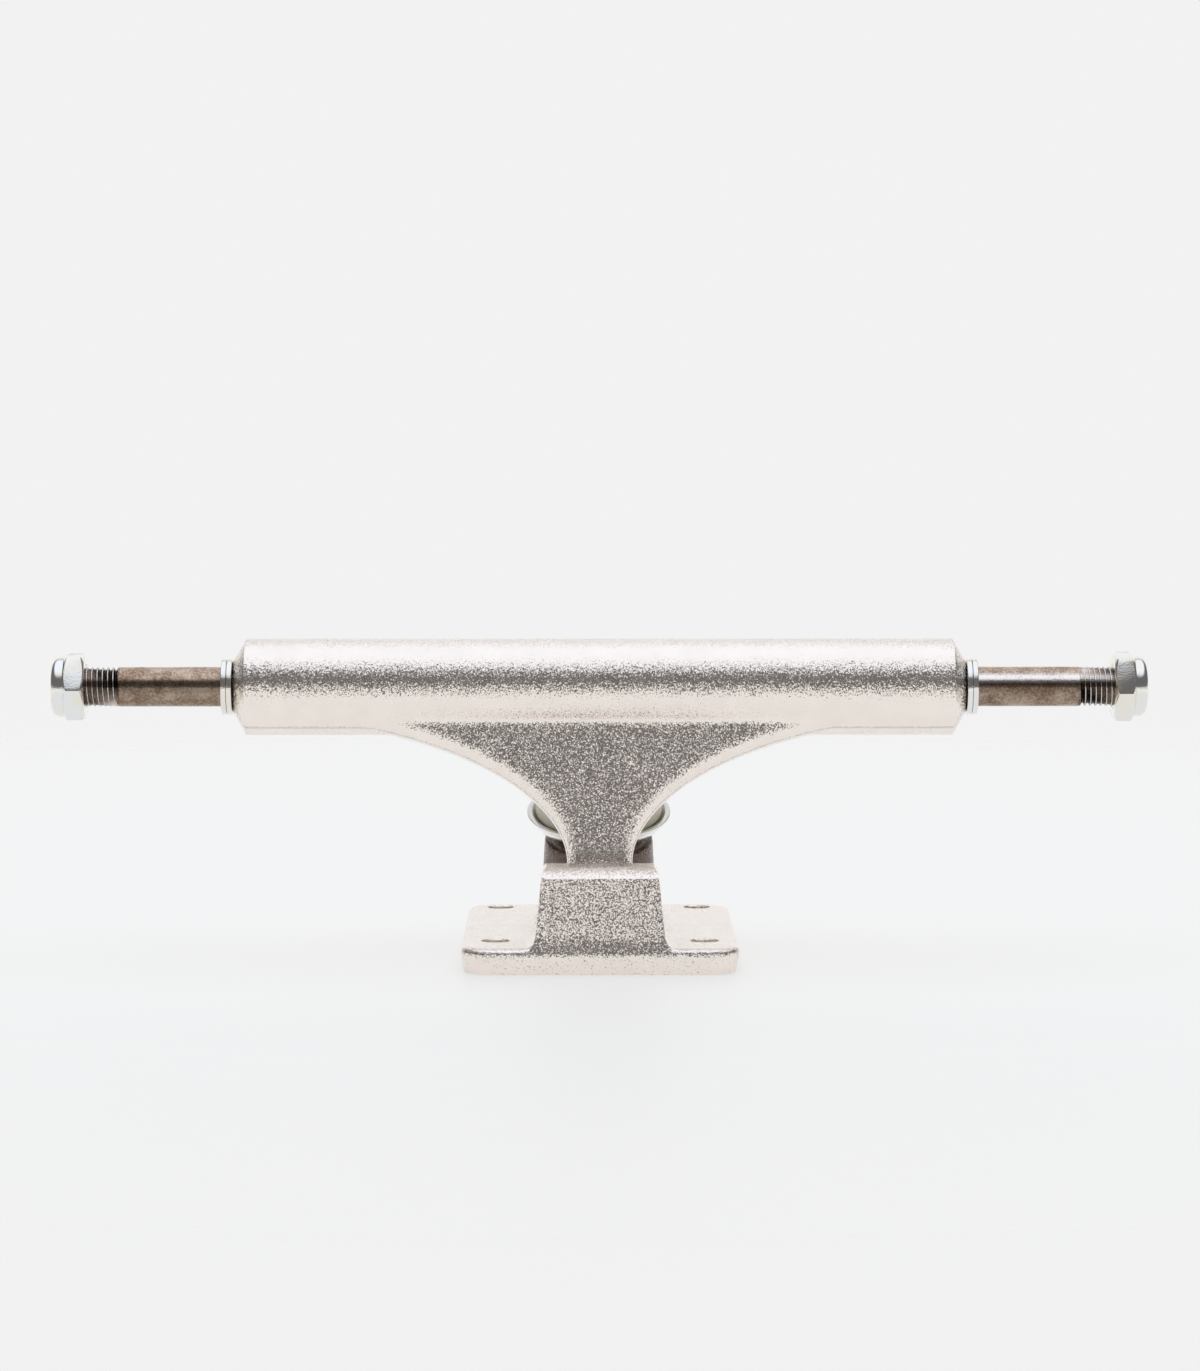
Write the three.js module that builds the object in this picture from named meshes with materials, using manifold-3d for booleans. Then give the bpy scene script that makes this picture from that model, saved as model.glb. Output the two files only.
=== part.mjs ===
// Skateboard truck: a cast hanger that carries the wheel axle, held on a cast baseplate by a kingpin
// with two bushings and by a pivot nose in a plastic cup. Millimetres, +Z up.
// The origin is the centre of the four mounting holes on the face that meets the deck. X runs along
// the axle, the pivot is on the -Y side and the kingpin on the +Y side.

import * as THREE from 'three';
import { mergeVertices } from 'three/addons/utils/BufferGeometryUtils.js';
import Module from 'manifold-3d';

const wasm = await Module();
wasm.setup();

// Gap between pieces that seat on each other, and how far a cutting shape runs past what it cuts
const seatGap = 0.3;
const cutOverrun = 4;

// Mounting holes in the baseplate
const holeSpacingX = 41.275;
const holeSpacingY = 53.975;
const holeDiameter = 5.4;

// Baseplate
const plateWidth = 55;
const plateAhead = 13;
const plateBehind = 6;
const plateThickness = 5.2;
const plateCornerRadius = 6;
const plateEdgeRound = 0.9;

// Pivot housing, the rounded box on the front of the baseplate
const housingTopWidth = 22.6;
const housingFootWidth = 25.6;
const housingHeight = 21.2;
const housingFrontLean = 1.2;
const housingFrontStep = 0.6;
const housingCornerRadius = 2.2;

// Pivot: where the nose of the hanger turns, and the plastic cup around it
const pivotAheadOfHoles = 1;
const pivotHeight = 11;
const noseRadius = 4.5;
const cupWall = 1.8;
const housingMouth = 6;
const cupLip = 0.8;
const armClearance = 0.5;

// Kingpin: a bolt that leans from the baseplate towards the pivot side
const kingpinLean = THREE.MathUtils.degToRad(17.7);
const kingpinFootY = 30.4;
const kingpinRadius = 4.76;
const kingpinHeadFlats = 14.3;
const kingpinHeadStart = 3.1;
const kingpinHeadHeight = 5.2;
const kingpinPocketFlats = 14.9;
const kingpinLength = 59.9;
const kingpinTipChamfer = 0.9;

// Kingpin boss of the baseplate
const bossFootRadius = 12.4;
const bossTopRadius = 11.3;
const bossHeight = 22;
const bossEdgeRound = 1;

// Bottom cup washer
const cupWasherSeatRadius = 9;
const cupWasherRadius = 15;
const cupWasherHeight = 5.2;
const cupWasherFloor = 1.8;
const cupWasherFloorRadius = 10.4;
const cupWasherMouthRadius = 13.95;
const cupWasherKneeRadius = 12.8;
const cupWasherKneeHeight = 2.3;
const cupWasherLip = 0.5;

// Bottom bushing
const bottomBushingHeight = 13.3;
const bottomBushingFootRadius = 10.3;
const bottomBushingRadius = 13.2;
const bottomBushingTopRadius = 12.4;
const bottomBushingFootHeight = 2.5;
const bottomBushingWaistHeight = 6.6;

// Hanger ring, which the bushings grip
const ringRadius = 14.6;
const ringThickness = 7.6;
const ringSeatDepth = 1;
const ringBoreRadius = 7.6;
const ringEdgeRound = 1.2;
const topWasherSwing = 2.3;

// Top bushing
const topBushingHeight = 8.9;
const topBushingFootRadius = 11.4;
const topBushingTopRadius = 9.9;

// Top cup washer
const topWasherRadius = 12;
const topWasherThickness = 1.2;
const topWasherCrownRadius = 10.9;
const topWasherRimDepth = 1.5;
const topWasherRimWidth = 1.2;

// Kingpin nut with its nylon ring
const kingpinNutFlats = 14.3;
const kingpinNutHexHeight = 5.2;
const kingpinNutCollarHeight = 1.8;
const kingpinNutCollarRadius = 6.9;
const kingpinNutInsertWall = 0.85;

// Axle, the line of the hanger barrel
const axleY = -11;
const axleHeight = 54.5;
const axleRadius = 3.97;
const axleLength = 211.8;
const threadLength = 9.5;
const threadDepth = 0.15;
const axleTipChamfer = 0.7;

// Hanger barrel
const barrelRadius = 9.7;
const barrelLength = 147.2;
const barrelConeLength = 2.7;
const barrelEndRadius = 5;

// Hanger web, the flat arm in front
const webTopHalfWidth = 58;
const webNeckHalfWidth = 6.25;
const webTopHeight = 48.4;
const webNeckHeight = 19.7;
const webBottomHeight = 12.5;
const webThickness = 10.4;
const webFrontTopY = -18.4;
const webLean = THREE.MathUtils.degToRad(9.6);
const webEdgeRound = 2.8;
const webNeckCurveShare = 0.345;
const webTopCurveShare = 0.72;
const webTopDropShare = 0.164;
const webRiseIntoBarrel = 6;

// Hanger yoke, which joins the web and the barrel to the ring behind them
const yokeTopHalfWidth = 24;
const yokeNeckHalfWidth = 6;
const yokeTopHeight = 50;
const yokeNeckHeight = 20;
const yokeBottomHeight = 9;
const yokeNeckCurveShare = 0.47;
const yokeTopCurveShare = 0.46;
const yokeRiseIntoBarrel = 4;
const yokeBackOfBarrel = 7.5;
const yokeLip = 0.9;

// Speed rings, the thin washers between the hanger and each wheel
const speedRingRadius = 5.65;
const speedRingThickness = 1.05;
const speedRingGap = 0.05;
const speedRingsPerSide = 2;

// Axle nuts with their nylon rings
const axleNutFlats = 12.7;
const axleNutHexHeight = 4.9;
const axleNutCollarHeight = 2.5;
const axleNutCollarRadius = 6;
const axleNutPastTip = 3.9;
const axleNutInsertWall = 0.85;
const nutRimWidth = 0.45;
const nutFaceShare = 0.95;
const nutReachShare = 0.6;
const nutChamferAngle = THREE.MathUtils.degToRad(30);

// How finely round surfaces are cut into flat faces
const fineSides = 36;
const smallSides = 24;
const curveSteps = 9;
const arcSteps = 4;

// Sizes that follow from the ones above
const plateFrontY = -holeSpacingY / 2 - plateAhead;
const plateBackY = holeSpacingY / 2 + plateBehind;
const pivotY = -holeSpacingY / 2 - pivotAheadOfHoles;
const armStart = housingMouth + cupLip + armClearance;
const cupRadius = noseRadius + seatGap + cupWall;
const nutThreadRadius = axleRadius + seatGap;
const kingpinHole = kingpinRadius + seatGap;
const kingpinSeat = kingpinHeadStart + kingpinHeadHeight + seatGap;
const bottomWasherStart = bossHeight + seatGap;
const bottomBushingStart = bottomWasherStart + cupWasherFloor + seatGap;
const ringLowerSeat = bottomBushingStart + bottomBushingHeight + seatGap;
const ringStart = ringLowerSeat - ringSeatDepth;
const ringEnd = ringStart + ringThickness;
const topBushingStart = ringEnd - ringSeatDepth + seatGap;
const topWasherStart = topBushingStart + topBushingHeight + seatGap;
const kingpinNutStart = topWasherStart + topWasherThickness + seatGap;
const webTopY = webFrontTopY + webThickness / 2;
const barrelFullLength = barrelLength - 2 * barrelConeLength;

// The pivot axis runs from the pivot to the middle of the hanger's ring
const ringMiddle = (ringStart + ringEnd) / 2;
const ringMiddleY = kingpinFootY - ringMiddle * Math.sin(kingpinLean);
const ringMiddleZ = ringMiddle * Math.cos(kingpinLean);
const pivotRise = Math.atan2(ringMiddleZ - pivotHeight, ringMiddleY - pivotY);

// Frames: in each one, local +Z is the axis of the pieces that it carries
const truck = new THREE.Group();

const kingpinFrame = new THREE.Group();
kingpinFrame.position.set(0, kingpinFootY, 0);
kingpinFrame.rotation.x = kingpinLean;
truck.add(kingpinFrame);

const pivotFrame = new THREE.Group();
pivotFrame.position.set(0, pivotY, pivotHeight);
pivotFrame.rotation.x = pivotRise - Math.PI / 2;
truck.add(pivotFrame);

const rightAxleFrame = new THREE.Group();
rightAxleFrame.position.set(0, axleY, axleHeight);
rightAxleFrame.rotation.y = Math.PI / 2;
truck.add(rightAxleFrame);

const leftAxleFrame = new THREE.Group();
leftAxleFrame.position.set(0, axleY, axleHeight);
leftAxleFrame.rotation.y = -Math.PI / 2;
truck.add(leftAxleFrame);

truck.updateMatrixWorld(true);

// Shape helpers

// A solid of manifold-3d from a closed three.js geometry, carried into the truck's frame if one is given
function solid(geometry, frame) {
  const shape = geometry.clone();
  shape.deleteAttribute('normal');
  shape.deleteAttribute('uv');
  const merged = mergeVertices(shape);
  if (frame) {
    merged.applyMatrix4(frame.matrixWorld);
  }
  const mesh = new wasm.Mesh({
    numProp: 3,
    vertProperties: new Float32Array(merged.attributes.position.array),
    triVerts: new Uint32Array(merged.index.array),
  });
  return new wasm.Manifold(mesh);
}

// The three.js geometry of a manifold-3d solid
function geometryOf(body) {
  const mesh = body.getMesh();
  const geometry = new THREE.BufferGeometry();
  geometry.setAttribute('position', new THREE.BufferAttribute(mesh.vertProperties, mesh.numProp));
  geometry.setIndex(new THREE.BufferAttribute(mesh.triVerts, 1));
  geometry.computeVertexNormals();
  return geometry;
}

// A turned shape about local +Z; points are [radius, height], with the material on the left of the path
function turned(points, sides) {
  const profile = points.map(([radius, height]) => new THREE.Vector2(radius, height));
  const geometry = new THREE.LatheGeometry(profile, sides);
  geometry.rotateX(Math.PI / 2);
  return geometry;
}

// The profile of a ring, closed on itself
function ringProfile(innerRadius, outerRadius, start, end) {
  return [
    [innerRadius, start], [outerRadius, start], [outerRadius, end], [innerRadius, end], [innerRadius, start],
  ];
}

// The profile of a plain round bar
function barProfile(radius, start, end) {
  return [[0, start], [radius, start], [radius, end], [0, end]];
}

// A hexagonal bar along local +Z
function hexBar(flats, start, end) {
  const sides = 6;
  const cornerRadius = flats / 2 / Math.cos(Math.PI / sides);
  const geometry = new THREE.CylinderGeometry(cornerRadius, cornerRadius, end - start, sides);
  geometry.rotateX(Math.PI / 2);
  geometry.translate(0, 0, (start + end) / 2);
  return geometry;
}

// A slab whose outline is drawn in X and Z, from its back face at y = 0 forward to y = -depth
function frontSlab(outline, depth, round) {
  const geometry = new THREE.ExtrudeGeometry(outline, {
    depth: depth - 2 * round,
    bevelEnabled: round > 0,
    bevelThickness: round,
    bevelSize: round,
    bevelOffset: -round,
    bevelSegments: 2,
    curveSegments: curveSteps,
  });
  geometry.translate(0, 0, round);
  geometry.rotateX(Math.PI / 2);
  return geometry;
}

// A slab whose outline is drawn in Y and Z, reaching halfWidth to each side of the middle plane
function sideSlab(corners, halfWidth) {
  const outline = new THREE.Shape(corners.map(([y, z]) => new THREE.Vector2(y, z)));
  const geometry = new THREE.ExtrudeGeometry(outline, { depth: 2 * halfWidth, bevelEnabled: false });
  geometry.translate(0, 0, -halfWidth);
  const swing = new THREE.Matrix4().makeBasis(
    new THREE.Vector3(0, 1, 0), new THREE.Vector3(0, 0, 1), new THREE.Vector3(1, 0, 0));
  geometry.applyMatrix4(swing);
  return geometry;
}

// A rounded rectangle lying in X and Y
function roundedPlate(xLow, xHigh, yLow, yHigh, radius) {
  const outline = new THREE.Shape();
  outline.absarc(xHigh - radius, yLow + radius, radius, -Math.PI / 2, 0);
  outline.absarc(xHigh - radius, yHigh - radius, radius, 0, Math.PI / 2);
  outline.absarc(xLow + radius, yHigh - radius, radius, Math.PI / 2, Math.PI);
  outline.absarc(xLow + radius, yLow + radius, radius, Math.PI, Math.PI * 3 / 2);
  return outline;
}

// A point of the side view, given by its place along the kingpin and across it
function besideKingpin(along, across) {
  return [
    kingpinFootY - along * Math.sin(kingpinLean) + across * Math.cos(kingpinLean),
    along * Math.cos(kingpinLean) + across * Math.sin(kingpinLean),
  ];
}

// A point of the side view, given by its place along the pivot axis and above it
function besidePivot(along, above) {
  return [
    pivotY + along * Math.cos(pivotRise) - above * Math.sin(pivotRise),
    pivotHeight + along * Math.sin(pivotRise) + above * Math.cos(pivotRise),
  ];
}

// Materials

function finish(name, color, roughness, metalness) {
  return new THREE.MeshStandardMaterial({ name, color, roughness, metalness });
}

const castAluminium = finish('cast_aluminium', 0xb9b4ae, 0.38, 1);
const axleSteel = finish('axle_steel', 0x77706a, 0.35, 1);
const brightZinc = finish('bright_zinc', 0xd5dbdd, 0.22, 1);
const kingpinSteel = finish('kingpin_steel', 0x8d8984, 0.35, 1);
const ivoryUrethane = finish('ivory_urethane', 0xe6dfcf, 0.5, 0);
const whiteNylon = finish('white_nylon', 0xeeeeea, 0.45, 0);
const blackPlastic = finish('black_plastic', 0x26262a, 0.55, 0);

function addPart(name, geometry, material, frame = truck) {
  const mesh = new THREE.Mesh(geometry, material);
  mesh.name = name;
  frame.add(mesh);
}

// Baseplate: the plate, the pivot housing, the kingpin boss and what is cut out of them.
// The plate and the boss run on below the deck face, and one cut makes that face.

function plateSolid() {
  const outline = roundedPlate(-plateWidth / 2, plateWidth / 2, plateFrontY, plateBackY, plateCornerRadius);
  const geometry = new THREE.ExtrudeGeometry(outline, {
    depth: plateThickness + cutOverrun - plateEdgeRound,
    bevelEnabled: true,
    bevelThickness: plateEdgeRound,
    bevelSize: plateEdgeRound,
    bevelOffset: -plateEdgeRound,
    bevelSegments: 2,
    curveSegments: arcSteps,
  });
  geometry.translate(0, 0, -cutOverrun);
  return solid(geometry);
}

function housingSolid() {
  const shoulderZ = housingHeight - housingCornerRadius;
  const outline = new THREE.Shape();
  outline.moveTo(-housingFootWidth / 2, plateThickness / 2);
  outline.lineTo(housingFootWidth / 2, plateThickness / 2);
  outline.lineTo(housingTopWidth / 2, shoulderZ);
  outline.absarc(housingTopWidth / 2 - housingCornerRadius, shoulderZ, housingCornerRadius, 0, Math.PI / 2);
  outline.absarc(
    -housingTopWidth / 2 + housingCornerRadius, shoulderZ, housingCornerRadius, Math.PI / 2, Math.PI);
  const depth = pivotY - plateFrontY + cupRadius * 3;
  const box = solid(frontSlab(outline, depth, 0)).translate([0, plateFrontY + depth, 0]);
  const frontY = plateFrontY + housingFrontStep;
  const halfRange = housingHeight;
  const side = sideSlab([
    [frontY, 0],
    besidePivot(housingMouth, -halfRange),
    besidePivot(housingMouth, halfRange),
    [frontY + housingFrontLean, housingHeight],
  ], housingFootWidth);
  return box.intersect(solid(side));
}

function bossSolid() {
  const start = -bossFootRadius;
  const slope = (bossFootRadius - bossTopRadius) / bossHeight;
  return solid(turned([
    [0, start],
    [bossFootRadius - slope * start, start],
    [bossTopRadius, bossHeight - bossEdgeRound],
    [bossTopRadius - bossEdgeRound, bossHeight],
    [0, bossHeight],
  ], fineSides), kingpinFrame);
}

// A socket that is open along local +Z and closed by a half ball behind the pivot
function ballEndProfile(radius, end) {
  const points = [];
  const steps = arcSteps + 2;
  for (let i = 0; i <= steps; i += 1) {
    const angle = (i / steps) * Math.PI / 2;
    points.push([radius * Math.sin(angle), -radius * Math.cos(angle)]);
  }
  points[0][0] = 0;
  points.push([radius, end]);
  return points;
}

function baseplate() {
  let body = plateSolid().add(housingSolid()).add(bossSolid());
  const reach = plateWidth + holeSpacingY;
  const below = new THREE.BoxGeometry(reach, reach, reach);
  below.translate(0, 0, -reach / 2);
  body = body.subtract(solid(below));
  const hole = solid(turned(barProfile(holeDiameter / 2, -cutOverrun, plateThickness + cutOverrun), smallSides));
  for (const sideX of [-1, 1]) {
    for (const sideY of [-1, 1]) {
      body = body.subtract(hole.translate([sideX * holeSpacingX / 2, sideY * holeSpacingY / 2, 0]));
    }
  }
  const bore = turned(barProfile(kingpinHole, 0, bossHeight + cutOverrun), smallSides);
  body = body.subtract(solid(bore, kingpinFrame));
  const pocketDepth = kingpinHeadHeight + kingpinHeadStart;
  const pocket = hexBar(kingpinPocketFlats, kingpinSeat - pocketDepth * 2, kingpinSeat);
  body = body.subtract(solid(pocket, kingpinFrame));
  const socketProfile = ballEndProfile(cupRadius + seatGap, housingMouth + cutOverrun);
  socketProfile.push([0, housingMouth + cutOverrun]);
  return body.subtract(solid(turned(socketProfile, smallSides), pivotFrame));
}

// Pivot cup: a round plastic socket with an open mouth

function pivotCup() {
  const end = housingMouth + cupLip;
  const outer = ballEndProfile(cupRadius, end);
  const inner = ballEndProfile(noseRadius + seatGap, end).reverse();
  return turned([...outer, ...inner], smallSides);
}

// Hanger: barrel, web, yoke, ring and pivot nose in one casting

function barrelSolid() {
  const fullEnd = barrelFullLength / 2;
  const end = barrelLength / 2;
  return solid(turned([
    [0, -end], [barrelEndRadius, -end], [barrelRadius, -fullEnd],
    [barrelRadius, fullEnd], [barrelEndRadius, end], [0, end],
  ], fineSides), rightAxleFrame);
}

// A funnel outline: wide and square at the top, curved in to a neck, straight below it
function funnel(topHalf, neckHalf, topZ, neckZ, bottomZ, riseZ, neckShare, topShare, dropShare) {
  const outline = new THREE.Shape();
  const spanX = topHalf - neckHalf;
  const spanZ = topZ - neckZ;
  const bendZ = topZ - spanZ * dropShare;
  outline.moveTo(neckHalf, bottomZ);
  outline.lineTo(neckHalf, neckZ);
  outline.bezierCurveTo(
    neckHalf, neckZ + spanZ * neckShare, topHalf - spanX * topShare, bendZ, topHalf, topZ);
  outline.lineTo(topHalf, riseZ);
  outline.lineTo(-topHalf, riseZ);
  outline.lineTo(-topHalf, topZ);
  outline.bezierCurveTo(
    -topHalf + spanX * topShare, bendZ, -neckHalf, neckZ + spanZ * neckShare, -neckHalf, neckZ);
  outline.lineTo(-neckHalf, bottomZ);
  return outline;
}

function webSolid() {
  const outline = funnel(
    webTopHalfWidth, webNeckHalfWidth, 0, webNeckHeight - webTopHeight, webBottomHeight - webTopHeight,
    webRiseIntoBarrel, webNeckCurveShare, webTopCurveShare, webTopDropShare);
  const slab = frontSlab(outline, webThickness, webEdgeRound);
  slab.translate(0, webThickness / 2, 0);
  slab.rotateX(-webLean);
  slab.translate(0, webTopY, webTopHeight);
  return solid(slab);
}

function yokeSolid() {
  const outline = funnel(
    yokeTopHalfWidth, yokeNeckHalfWidth, yokeTopHeight, yokeNeckHeight, yokeBottomHeight,
    yokeTopHeight + yokeRiseIntoBarrel, yokeNeckCurveShare, yokeTopCurveShare, 0);
  const backY = ringMiddleY;
  const depth = backY - pivotY + cupRadius;
  const front = solid(frontSlab(outline, depth, 0)).translate([0, backY, 0]);
  const webBottomY = webTopY - (webTopHeight - webBottomHeight) * Math.tan(webLean);
  const side = sideSlab([
    [axleY, axleHeight],
    [axleY + yokeBackOfBarrel, yokeTopHeight],
    besideKingpin(ringEnd + yokeLip, -topBushingFootRadius),
    besideKingpin(ringMiddle + yokeLip, 0),
    besideKingpin(ringMiddle - yokeLip, 0),
    besideKingpin(ringStart - yokeLip, -ringRadius + yokeLip),
    besidePivot(0, -yokeNeckHalfWidth),
    [webBottomY, webBottomHeight],
    [webTopY, webTopHeight],
  ], yokeTopHalfWidth * 2);
  return front.intersect(solid(side));
}

function ringSolid() {
  return solid(turned([
    [0, ringStart],
    [ringRadius - ringEdgeRound, ringStart],
    [ringRadius, ringStart + ringEdgeRound],
    [ringRadius, ringEnd - ringEdgeRound],
    [ringRadius - ringEdgeRound, ringEnd],
    [0, ringEnd],
  ], fineSides), kingpinFrame);
}

function noseSolid() {
  const profile = ballEndProfile(noseRadius, armStart + noseRadius);
  profile.push([0, armStart + noseRadius]);
  return solid(turned(profile, smallSides), pivotFrame);
}

function hanger() {
  const reach = holeSpacingY;
  const behindArm = solid(turned(barProfile(reach, -reach, armStart), smallSides), pivotFrame);
  let body = webSolid().add(yokeSolid()).subtract(behindArm);
  body = body.add(barrelSolid()).add(ringSolid()).add(noseSolid());
  const lowerSeatRadius = bottomBushingTopRadius + seatGap;
  const upperSeatRadius = topBushingFootRadius + seatGap;
  const upperClearRadius = topWasherRadius + topWasherSwing;
  const cuts = [
    barProfile(ringBoreRadius, ringStart - cutOverrun, ringEnd + cutOverrun),
    barProfile(lowerSeatRadius, ringStart - cutOverrun, ringLowerSeat),
    barProfile(upperSeatRadius, ringEnd - ringSeatDepth, ringEnd + cutOverrun),
    barProfile(upperClearRadius, ringEnd + seatGap, kingpinNutStart),
  ];
  for (const profile of cuts) {
    body = body.subtract(solid(turned(profile, fineSides), kingpinFrame));
  }
  const bore = turned(barProfile(axleRadius + seatGap, -barrelLength, barrelLength), smallSides);
  return body.subtract(solid(bore, rightAxleFrame));
}

// Kingpin: a hexagonal head and a round shank

function kingpin() {
  const headEnd = kingpinHeadStart + kingpinHeadHeight;
  const tip = kingpinHeadStart + kingpinLength;
  const shank = turned([
    [0, kingpinHeadStart], [kingpinRadius, kingpinHeadStart], [kingpinRadius, tip - kingpinTipChamfer],
    [kingpinRadius - kingpinTipChamfer, tip], [0, tip],
  ], smallSides);
  return solid(shank).add(solid(hexBar(kingpinHeadFlats, kingpinHeadStart, headEnd)));
}

// The pieces on the kingpin, from the baseplate up

function bottomWasher() {
  const start = bottomWasherStart;
  const rim = start + cupWasherHeight;
  const floor = start + cupWasherFloor;
  return turned([
    [kingpinHole, start],
    [cupWasherSeatRadius, start],
    [cupWasherKneeRadius, start + cupWasherKneeHeight],
    [cupWasherRadius, rim - cupWasherLip],
    [cupWasherRadius, rim],
    [cupWasherMouthRadius, rim],
    [cupWasherFloorRadius, floor],
    [kingpinHole, floor],
    [kingpinHole, start],
  ], fineSides);
}

function bottomBushing() {
  const start = bottomBushingStart;
  const end = start + bottomBushingHeight;
  return turned([
    [kingpinHole, start],
    [bottomBushingFootRadius, start],
    [bottomBushingRadius, start + bottomBushingFootHeight + seatGap],
    [bottomBushingRadius, start + bottomBushingWaistHeight],
    [bottomBushingTopRadius, end - ringSeatDepth],
    [bottomBushingTopRadius, end],
    [kingpinHole, end],
    [kingpinHole, start],
  ], fineSides);
}

function topBushing() {
  const start = topBushingStart;
  const end = start + topBushingHeight;
  return turned([
    [kingpinHole, start],
    [topBushingFootRadius, start],
    [topBushingFootRadius, start + ringSeatDepth],
    [topBushingTopRadius, end - topWasherRimDepth],
    [topBushingTopRadius, end],
    [kingpinHole, end],
    [kingpinHole, start],
  ], fineSides);
}

function topWasher() {
  const start = topWasherStart;
  const crown = start + topWasherThickness;
  const rimEnd = start - topWasherRimDepth;
  return turned([
    [kingpinHole, start],
    [topBushingTopRadius + seatGap, start],
    [topWasherRadius - topWasherRimWidth, rimEnd],
    [topWasherRadius, rimEnd],
    [topWasherCrownRadius, crown],
    [kingpinHole, crown],
    [kingpinHole, start],
  ], fineSides);
}

// A lock nut: a chamfered hexagon with a round collar that holds a nylon ring
function lockNut({ flats, hexHeight, collarHeight, collarRadius, holeRadius, grooveRadius }, start) {
  const faceRadius = flats / 2 * nutFaceShare;
  const reach = flats * nutReachShare;
  const chamfer = (reach - faceRadius) * Math.tan(nutChamferAngle);
  const hexEnd = start + hexHeight;
  const end = hexEnd + collarHeight;
  const envelope = turned([
    [0, start],
    [faceRadius, start],
    [reach, start + chamfer],
    [reach, hexEnd - chamfer],
    [collarRadius, hexEnd - (collarRadius - faceRadius) * Math.tan(nutChamferAngle)],
    [collarRadius, end - nutRimWidth * 2],
    [collarRadius - nutRimWidth, end],
    [0, end],
  ], smallSides);
  const hole = turned([
    [0, start - cutOverrun],
    [holeRadius, start - cutOverrun],
    [holeRadius, hexEnd],
    [grooveRadius, hexEnd],
    [grooveRadius, end - nutRimWidth],
    [holeRadius + seatGap, end - nutRimWidth],
    [holeRadius + seatGap, end + cutOverrun],
    [0, end + cutOverrun],
  ], smallSides);
  const bar = hexBar(flats, start - cutOverrun, end + cutOverrun);
  return solid(bar).intersect(solid(envelope)).subtract(solid(hole));
}

function nutInsert({ hexHeight, collarHeight, holeRadius, grooveRadius }, start) {
  const bottom = start + hexHeight + seatGap;
  const top = start + hexHeight + collarHeight - nutRimWidth - seatGap;
  return turned(ringProfile(holeRadius, grooveRadius - seatGap, bottom, top), smallSides);
}

const kingpinNutSizes = {
  flats: kingpinNutFlats,
  hexHeight: kingpinNutHexHeight,
  collarHeight: kingpinNutCollarHeight,
  collarRadius: kingpinNutCollarRadius,
  holeRadius: kingpinHole,
  grooveRadius: kingpinHole + kingpinNutInsertWall + seatGap,
};

const axleNutSizes = {
  flats: axleNutFlats,
  hexHeight: axleNutHexHeight,
  collarHeight: axleNutCollarHeight,
  collarRadius: axleNutCollarRadius,
  holeRadius: nutThreadRadius,
  grooveRadius: nutThreadRadius + axleNutInsertWall + seatGap,
};

// Axle: a round rod with a slightly thinner threaded end on each side

function axle() {
  const tip = axleLength / 2;
  const threadStart = tip - threadLength;
  const threadRadius = axleRadius - threadDepth;
  const half = [
    [axleRadius, threadStart],
    [threadRadius, threadStart + threadDepth],
    [threadRadius, tip - axleTipChamfer],
    [threadRadius - axleTipChamfer, tip],
    [0, tip],
  ];
  const otherHalf = half.map(([radius, x]) => [radius, -x]).reverse();
  return turned([...otherHalf, ...half], smallSides);
}

// Assembly

addPart('baseplate', geometryOf(baseplate()), castAluminium);
addPart('hanger', geometryOf(hanger()), castAluminium);

addPart('pivot_cup', pivotCup(), blackPlastic, pivotFrame);

addPart('kingpin', geometryOf(kingpin()), kingpinSteel, kingpinFrame);
addPart('bottom_washer', bottomWasher(), brightZinc, kingpinFrame);
addPart('bottom_bushing', bottomBushing(), ivoryUrethane, kingpinFrame);
addPart('top_bushing', topBushing(), ivoryUrethane, kingpinFrame);
addPart('top_washer', topWasher(), brightZinc, kingpinFrame);
addPart('kingpin_nut', geometryOf(lockNut(kingpinNutSizes, kingpinNutStart)), brightZinc, kingpinFrame);
addPart('kingpin_nut_insert', nutInsert(kingpinNutSizes, kingpinNutStart), whiteNylon, kingpinFrame);

addPart('axle', axle(), axleSteel, rightAxleFrame);

const axleNutStart = axleLength / 2 + axleNutPastTip - axleNutHexHeight - axleNutCollarHeight;
const sides = [['left', leftAxleFrame], ['right', rightAxleFrame]];
const ringNames = ['inner', 'outer'];
for (const [side, frame] of sides) {
  for (let i = 0; i < speedRingsPerSide; i += 1) {
    const start = barrelLength / 2 + speedRingGap + i * (speedRingThickness + speedRingGap);
    const profile = ringProfile(nutThreadRadius, speedRingRadius, start, start + speedRingThickness);
    addPart(`speed_ring_${side}_${ringNames[i]}`, turned(profile, smallSides), brightZinc, frame);
  }
  addPart(`axle_nut_${side}`, geometryOf(lockNut(axleNutSizes, axleNutStart)), brightZinc, frame);
  addPart(`axle_nut_insert_${side}`, nutInsert(axleNutSizes, axleNutStart), whiteNylon, frame);
}

export default truck;
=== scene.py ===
"""Looks of a skateboard truck: a cast hanger and baseplate, a through axle with its rings and nuts,
and a kingpin with two bushings between its washers. Metres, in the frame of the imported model."""

import math

import bpy
from bpy.props import FloatProperty, FloatVectorProperty, IntProperty, PointerProperty
from mathutils import Matrix, Vector


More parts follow.
